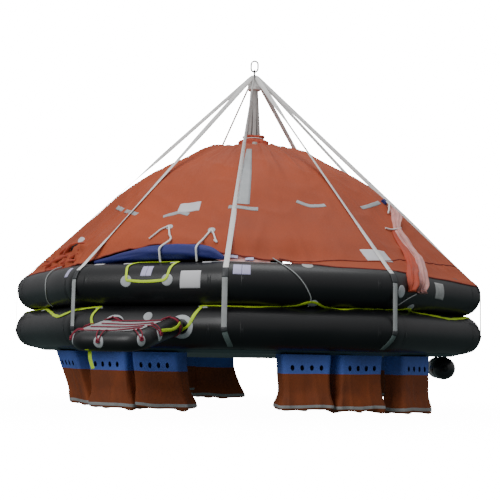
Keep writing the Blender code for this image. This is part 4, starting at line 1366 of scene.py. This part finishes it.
def make_tube_details():
    for n, azimuth in enumerate((18.8, 43.8), 1):
        patch(f"line_tie_patch_{n}", tube_surface(1, azimuth, -58), round_outline(0.050), GREY)
    """Patches, plates, tapes and the grab loop on the tubes."""
    for n, (azimuth, turn, width) in enumerate(((-18.1, 34.5, 0.115), (-39.4, 37, 0.075), (3.15, 37, 0.155), (162, 36, 0.11), (126, 34, 0.12), (234, 34, 0.12), (90, 34, 0.12), (270, 34, 0.12)), 1):
        for side in (-1, 1):
            patch(
                f"reflector_{n:02d}_{'left' if side < 0 else 'right'}",
                tube_surface(1, azimuth + side * math.degrees(width / 4 / 2.47), turn),
                box_outline(width / 2 - 0.004, 0.115), LILAC, "lamp_plastic",
            )
    patch("blank_plate_tube", tube_surface(1, -7.56, 8), box_outline(0.195, 0.165), PLATE, "lamp_plastic")
    patch("blank_plate_tube_side", tube_surface(1, 53.4, 3), box_outline(0.155, 0.160, -3), PLATE_GREY, "deck_fabric")
    patch("blank_plate_tube_rear", tube_surface(1, 171, 14), box_outline(0.190, 0.160), PLATE, "lamp_plastic")
    for n, (azimuth, turn) in enumerate(((-22.7, 5), (-12.85, 7), (157, 6), (167, 6)), 1):
        patch(f"loop_patch_{n}", tube_surface(1, azimuth, turn), round_outline(0.056), GREY)
    for n, (azimuth, turn, width) in enumerate(((-24.4, 74, 0.09), (-12.6, 76, 0.08), (-31.7, 72, 0.09), (-4.6, 74, 0.09)), 1):
        patch(f"sill_patch_{n}", tube_surface(1, azimuth, turn), box_outline(width, 0.035, 6), PLATE, "deck_fabric")
    tape("sill_tape", 1, ((-4.0, 84), (2, 86), (8.5, 86), (11, 84)), 0.035, GREY)
    for end in (0, 180):
        loop = ((-22.5, 7), (-22.9, 30), (-23.3, 55), (-21.6, 77), (-18.5, 80), (-15.5, 77), (-12.4, 84), (-11.6, 76), (-12.5, 45), (-13.1, 10), (-15.5, 4), (-19, 3))
        flat = [Vector((a + end, t, 0)) for a, t in loop]
        line = spline(flat + flat[:1], 5)[:-1]
        points, normals = [], []
        for at in line:
            turn = math.radians(at.y)
            points.append(on_tube(1, at.x, turn, 0.007))
            side = polar(at.x, 1, HOOK_H)
            normals.append(Vector((side.x * math.cos(turn), side.y * math.cos(turn), math.sin(turn))))
        ribbon(f"grab_loop_{'front' if end == 0 else 'rear'}", points, normals, 0.026, 0.004, YELLOW, "yellow_webbing", cyclic=True)
    for level, name in ((1, "upper"), (-1, "lower")):
        for corner in range(SIDES):
            for n, side in enumerate((-1, 1)):
                azimuth = corner * BAY + side * 3.4
                patch(
                    f"seam_tape_{name}_{corner + 1:02d}_{n + 1}",
                    tube_surface(level, azimuth, 8 * level), box_outline(0.030, 0.46, 0, 0, 14), RUBBER_TAPE, rings=1, thick=0.0012,
                )
    ends = {"front_left": -26.4 + 1.3, "front_right": -9.8}
    for name, azimuth in (("left", -25.3), ("right", -9.3)):
        patch(f"ramp_ring_patch_{name}", tube_surface(-1, azimuth, 0), round_outline(0.112), GREY, inner=0.62)
    patch("ramp_line_patch", tube_surface(-1, -17.4, 28), round_outline(0.045), GREY)


def cord_on(name, places, radius, finish, body="raft"):
    """A thin cord that lies on surfaces: places are points."""
    return rope(name, spline(places, 6), radius, finish, body)


def make_cords():
    """The doorway's ties and the thin lines that run down the tubes."""
    cord_on(
        "line_front_right",
        [
            on_canopy(10.0, 0.060, 0.006), on_tube(1, 12.3, math.radians(55), 0.006),
            on_tube(1, 14.3, math.radians(28), 0.006), on_tube(1, 15.9, math.radians(5), 0.005),
            on_tube(1, 17.1, math.radians(-17), 0.005), on_tube(1, 18.0, math.radians(-40), 0.005),
            on_tube(1, 18.0, math.radians(-72), 0.005),
        ],
        0.005, GREY_WEB_AND_STRAP_SHADE,
    )
    cord_on(
        "line_front_left",
        [
            on_canopy(-53.0, 0.02, 0.006), on_tube(1, -52.6, math.radians(60), 0.010),
            on_tube(1, -52.2, math.radians(28), 0.005), on_tube(1, -51.2, math.radians(-8), 0.005),
            on_tube(1, -52.7, math.radians(-42), 0.005), on_tube(1, -53.6, math.radians(-68), 0.005),
        ],
        0.005, GREY_WEB_AND_STRAP_SHADE,
    )
    for n, (azimuth, v, foot, loop) in enumerate(DOOR_TIES, 1):
        patch(f"tie_patch_{n}", canopy_surface(azimuth, v), round_outline(0.038), GREY, "deck_fabric", thick=0.005)
        lift = lift_at(foot) * 1.42
        over_roll = polar(foot, (RING_R + 0.055) * corner_share(foot), 0.540)
        before_roll = polar(foot, (RING_R + 0.070) * corner_share(foot), 0.480)
        cord_on(
            f"door_tie_{n}",
            [
                on_canopy(azimuth, v, 0.012), on_canopy(mix(azimuth, foot, 0.6), mix(v, lift, 0.5), 0.014),
                on_canopy(foot, lift + 0.05, 0.016), over_roll, before_roll,
                on_tube(1, foot + 0.1, math.radians(76), 0.008),
            ],
            0.010, WHITE,
        )
        cord_on(
            f"door_tie_loop_{n}",
            [on_canopy(azimuth, v, 0.014)] + [on_canopy(azimuth + a, v + b, 0.014) for a, b in loop],
            0.008, WHITE,
        )


DOOR_TIES = (  # place on the canopy, foot's azimuth, loose end beside it
    (-18.9, 0.501, -16.3, ((-1.6, -0.06), (-2.6, -0.13), (-3.6, -0.20))),
    (-5.6, 0.431, -7.2, ((0.9, -0.07), (1.7, -0.15), (2.3, -0.20), (1.5, -0.17))),
)
STRIPS = (  # paths of (azimuth, slope), width
    (((-54.6, 0.964), (-44, 0.85), (-32.9, 0.736)), 0.050),
    (((-23.0, 0.675), (-18.6, 0.731), (-14.6, 0.700)), 0.050),
    (((1.9, 2.130), (2.5, 1.464), (2.2, 0.830)), 0.055),
    (((-2.1, 0.784), (2.2, 0.772), (6.8, 0.767)), 0.050),
    (((20.1, 0.940), (24.6, 0.879), (29.6, 0.898)), 0.050),
    (((46.3, 0.938), (55, 1.020), (63, 1.100)), 0.050),
)


def make_canopy_details():
    for n, (path, width) in enumerate(STRIPS, 1):
        strip(f"reflective_strip_{n:02d}", path, width, GREY_TAPE)
    for n, middle in enumerate((90, 126, 198, 234, 270), 7):
        strip(f"reflective_strip_{n:02d}", ((middle - 5.2, 0.84), (middle, 0.85), (middle + 5.2, 0.84)), 0.050, GREY_TAPE)
    strip("reflective_strip_12", ((182.5, 2.150), (182.6, 1.5), (182.4, 0.95)), 0.055, GREY_TAPE)
    patch("blank_sign", canopy_surface(-15.5, 0.815), box_outline(0.235, 0.150, 6), PLATE, "lamp_plastic", thick=0.004)
    patch("canopy_patch_right", canopy_surface(35.9, 0.115), box_outline(0.290, 0.165, 0, 0.10), PLATE, "deck_fabric", thick=0.004)
    patch("canopy_patch_left", canopy_surface(-144.1, 0.115), box_outline(0.290, 0.165, 0, 0.10), PLATE, "deck_fabric", thick=0.004)
    patch("hem_patch_right", tube_surface(1, 17.6, 66), round_outline(0.055), PLATE_GREY, "deck_fabric")
    # Painted shadow: a black patch where the port's slit would be dark.
    patch("port_slit_painted_shadow", canopy_surface(-53.6, 0.275), round_outline(0.100, 0.42), PORT_SHADOW_PAINT, "blue_fabric", thick=0.006)
    patch("port_tie_patch", canopy_surface(-55.0, 0.400), round_outline(0.040), PLATE, "white_webbing", thick=0.010)
    for middle in (-18, 18, 54, 90, 126, 162, 198, 234, 270, 306):
        for side in (-1, 1):
            path = [(middle + side * 17.2, v) for v in (0.02, 0.5, 1.0, 1.5)]
            if abs(lift_at(path[0][0])) > 0.02:
                path = [(a, max(v, lift_at(a) * 1.42 + 0.02)) for a, v in path]
            strip(f"gore_seam_{middle % 360:03d}_{'left' if side < 0 else 'right'}", path, 0.016, ORANGE_SEAM, "orange_fabric", thick=0.0012, steps=36)


def make_door_band():
    """The inner door's edge, which hangs below the hem at the right of the front doorway."""
    rows, uv = [], []
    for i in range(9):
        row = []
        for j in range(41):
            azimuth = mix(-7.0, 9.4, j / 40)
            lift = lift_at(azimuth) * 1.42
            depth = mix(0.10, 0.035, smooth(0.3, 1.0, j / 40)) * smooth(0, 0.12, j / 40) + 0.01
            v = lift + 0.012 - depth * i / 8
            fold = 0.006 * math.sin(i * 1.1 + azimuth * 0.7) + 0.005 * rough(azimuth * 0.5, i * 0.4, 3.0)
            row.append(on_canopy(azimuth, max(v, 0.0), -0.014 + fold))
            uv.append((azimuth * 0.04, v))
        rows.append(row)
    band = grid("door_band", rows, PINK, "pink_lining", uv=uv)
    # 0.66 m long, 0.11 m deep for a third of it, then tapering to 0.045 m
    for n, azimuth in enumerate((1.0, 4.6), 1):
        lift = lift_at(azimuth) * 1.42
        patch(f"door_band_patch_{n}", canopy_surface(azimuth, lift - 0.028), box_outline(0.080, 0.035), LILAC, "lamp_plastic")


def make_finishes():
    """Better materials for the CAD nodes that stay."""
    finishes = {
        "canopy_lamp": LAMP, "strap_head": WHITE,
        "lifting_link": STEEL, "bow_shackle": STEEL, "shackle_pin": STEEL,
    }
    for name, finish in finishes.items():
        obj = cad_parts[name]
        for i in range(len(obj.material_slots)):
            obj.material_slots[i].material = finish


def emitter(name, strength):
    made = bpy.data.materials.new(name)
    made.use_nodes = True
    tree = made.node_tree
    glow = node(tree, "ShaderNodeEmission")
    glow.inputs["Color"].default_value = (1, 1, 1, 1)
    glow.inputs["Strength"].default_value = strength
    tree.links.new(glow.outputs[0], tree.nodes["Material Output"].inputs["Surface"])
    return made


def seen_by_camera_only(obj):
    obj.visible_diffuse = False
    obj.visible_glossy = False
    obj.visible_transmission = False
    obj.visible_volume_scatter = False
    obj.visible_shadow = False


def stage_piece(name, make, *args, **kw):
    mesh = bpy.data.meshes.new(name)
    bm = bmesh.new()
    make(bm, *args, **kw)
    bmesh.ops.translate(bm, verts=bm.verts, vec=(0, 0, at_height(FLOOR_H)))
    bm.to_mesh(mesh)
    bm.free()
    obj = bpy.data.objects.new(name, mesh)
    bpy.context.scene.collection.objects.link(obj)
    seen_by_camera_only(obj)
    return obj


def make_stage():
    dome = stage_piece("studio_wall", bmesh.ops.create_uvsphere, u_segments=48, v_segments=24, radius=60)
    dome.data.materials.append(emitter("studio_wall", WALL_GLOW))
    floor = stage_piece("studio_floor", bmesh.ops.create_circle, cap_ends=True, radius=59, segments=128)
    made = emitter("studio_floor", WALL_GLOW)
    tree = made.node_tree
    glow = tree.nodes["Emission"]
    paper = node(tree, "ShaderNodeBsdfDiffuse")
    paper.inputs["Color"].default_value = (0.85, 0.85, 0.85, 1)
    near_glow = node(tree, "ShaderNodeEmission")
    near_glow.inputs["Strength"].default_value = FLOOR_GLOW
    lit = node(tree, "ShaderNodeAddShader", {0: paper.outputs[0], 1: near_glow.outputs[0]})
    place = node(tree, "ShaderNodeTexCoord")
    length = node(tree, "ShaderNodeVectorMath", {0: place.outputs["Object"]}, operation="LENGTH")
    far = node(
        tree, "ShaderNodeMapRange",
        {"Value": length.outputs["Value"], "From Min": 3.0, "From Max": 9.0}, interpolation_type="SMOOTHSTEP",
    )
    blend = node(tree, "ShaderNodeMixShader", {0: far.outputs["Result"], 1: lit.outputs[0], 2: glow.outputs[0]})
    tree.links.new(blend.outputs[0], tree.nodes["Material Output"].inputs["Surface"])
    floor.data.materials.append(made)

    world = bpy.data.worlds.new("studio")
    bpy.context.scene.world = world
    world.use_nodes = True
    tree = world.node_tree
    background = tree.nodes["Background"]
    place = node(tree, "ShaderNodeTexCoord")
    parts = node(tree, "ShaderNodeSeparateXYZ", {0: place.outputs["Generated"]})
    sky = node(tree, "ShaderNodeValToRGB", {"Fac": node(
        tree, "ShaderNodeMapRange", {"Value": parts.outputs["Z"], "From Min": -1.0, "From Max": 1.0},
    ).outputs["Result"]})
    for position, colour in SKY:
        element = sky.color_ramp.elements.new(position)
        element.color = (*colour, 1)
    sky.color_ramp.elements.remove(sky.color_ramp.elements[0])
    sky.color_ramp.elements.remove(sky.color_ramp.elements[-1])
    tree.links.new(sky.outputs["Color"], background.inputs[0])
    background.inputs[1].default_value = 1.0

    for name, place, aim, size, power in LIGHTS:
        data = bpy.data.lights.new(name, "AREA")
        data.size = size
        data.energy = power
        light = bpy.data.objects.new(name, data)
        light.location = place
        light.rotation_mode = "QUATERNION"
        light.rotation_quaternion = (Vector(aim) - Vector(place)).to_track_quat("-Z", "Y")
        bpy.context.scene.collection.objects.link(light)


make_camera()
make_tubes()
make_floor()
make_canopy()
make_straps()
make_inner_straps()
make_collar()
make_bags()
make_gas_cylinder()
make_ramp()
make_arches()
make_rolls()
make_sleeve()
make_lifeline()
make_tube_details()
make_cords()
make_canopy_details()
make_door_band()
make_finishes()
make_stage()
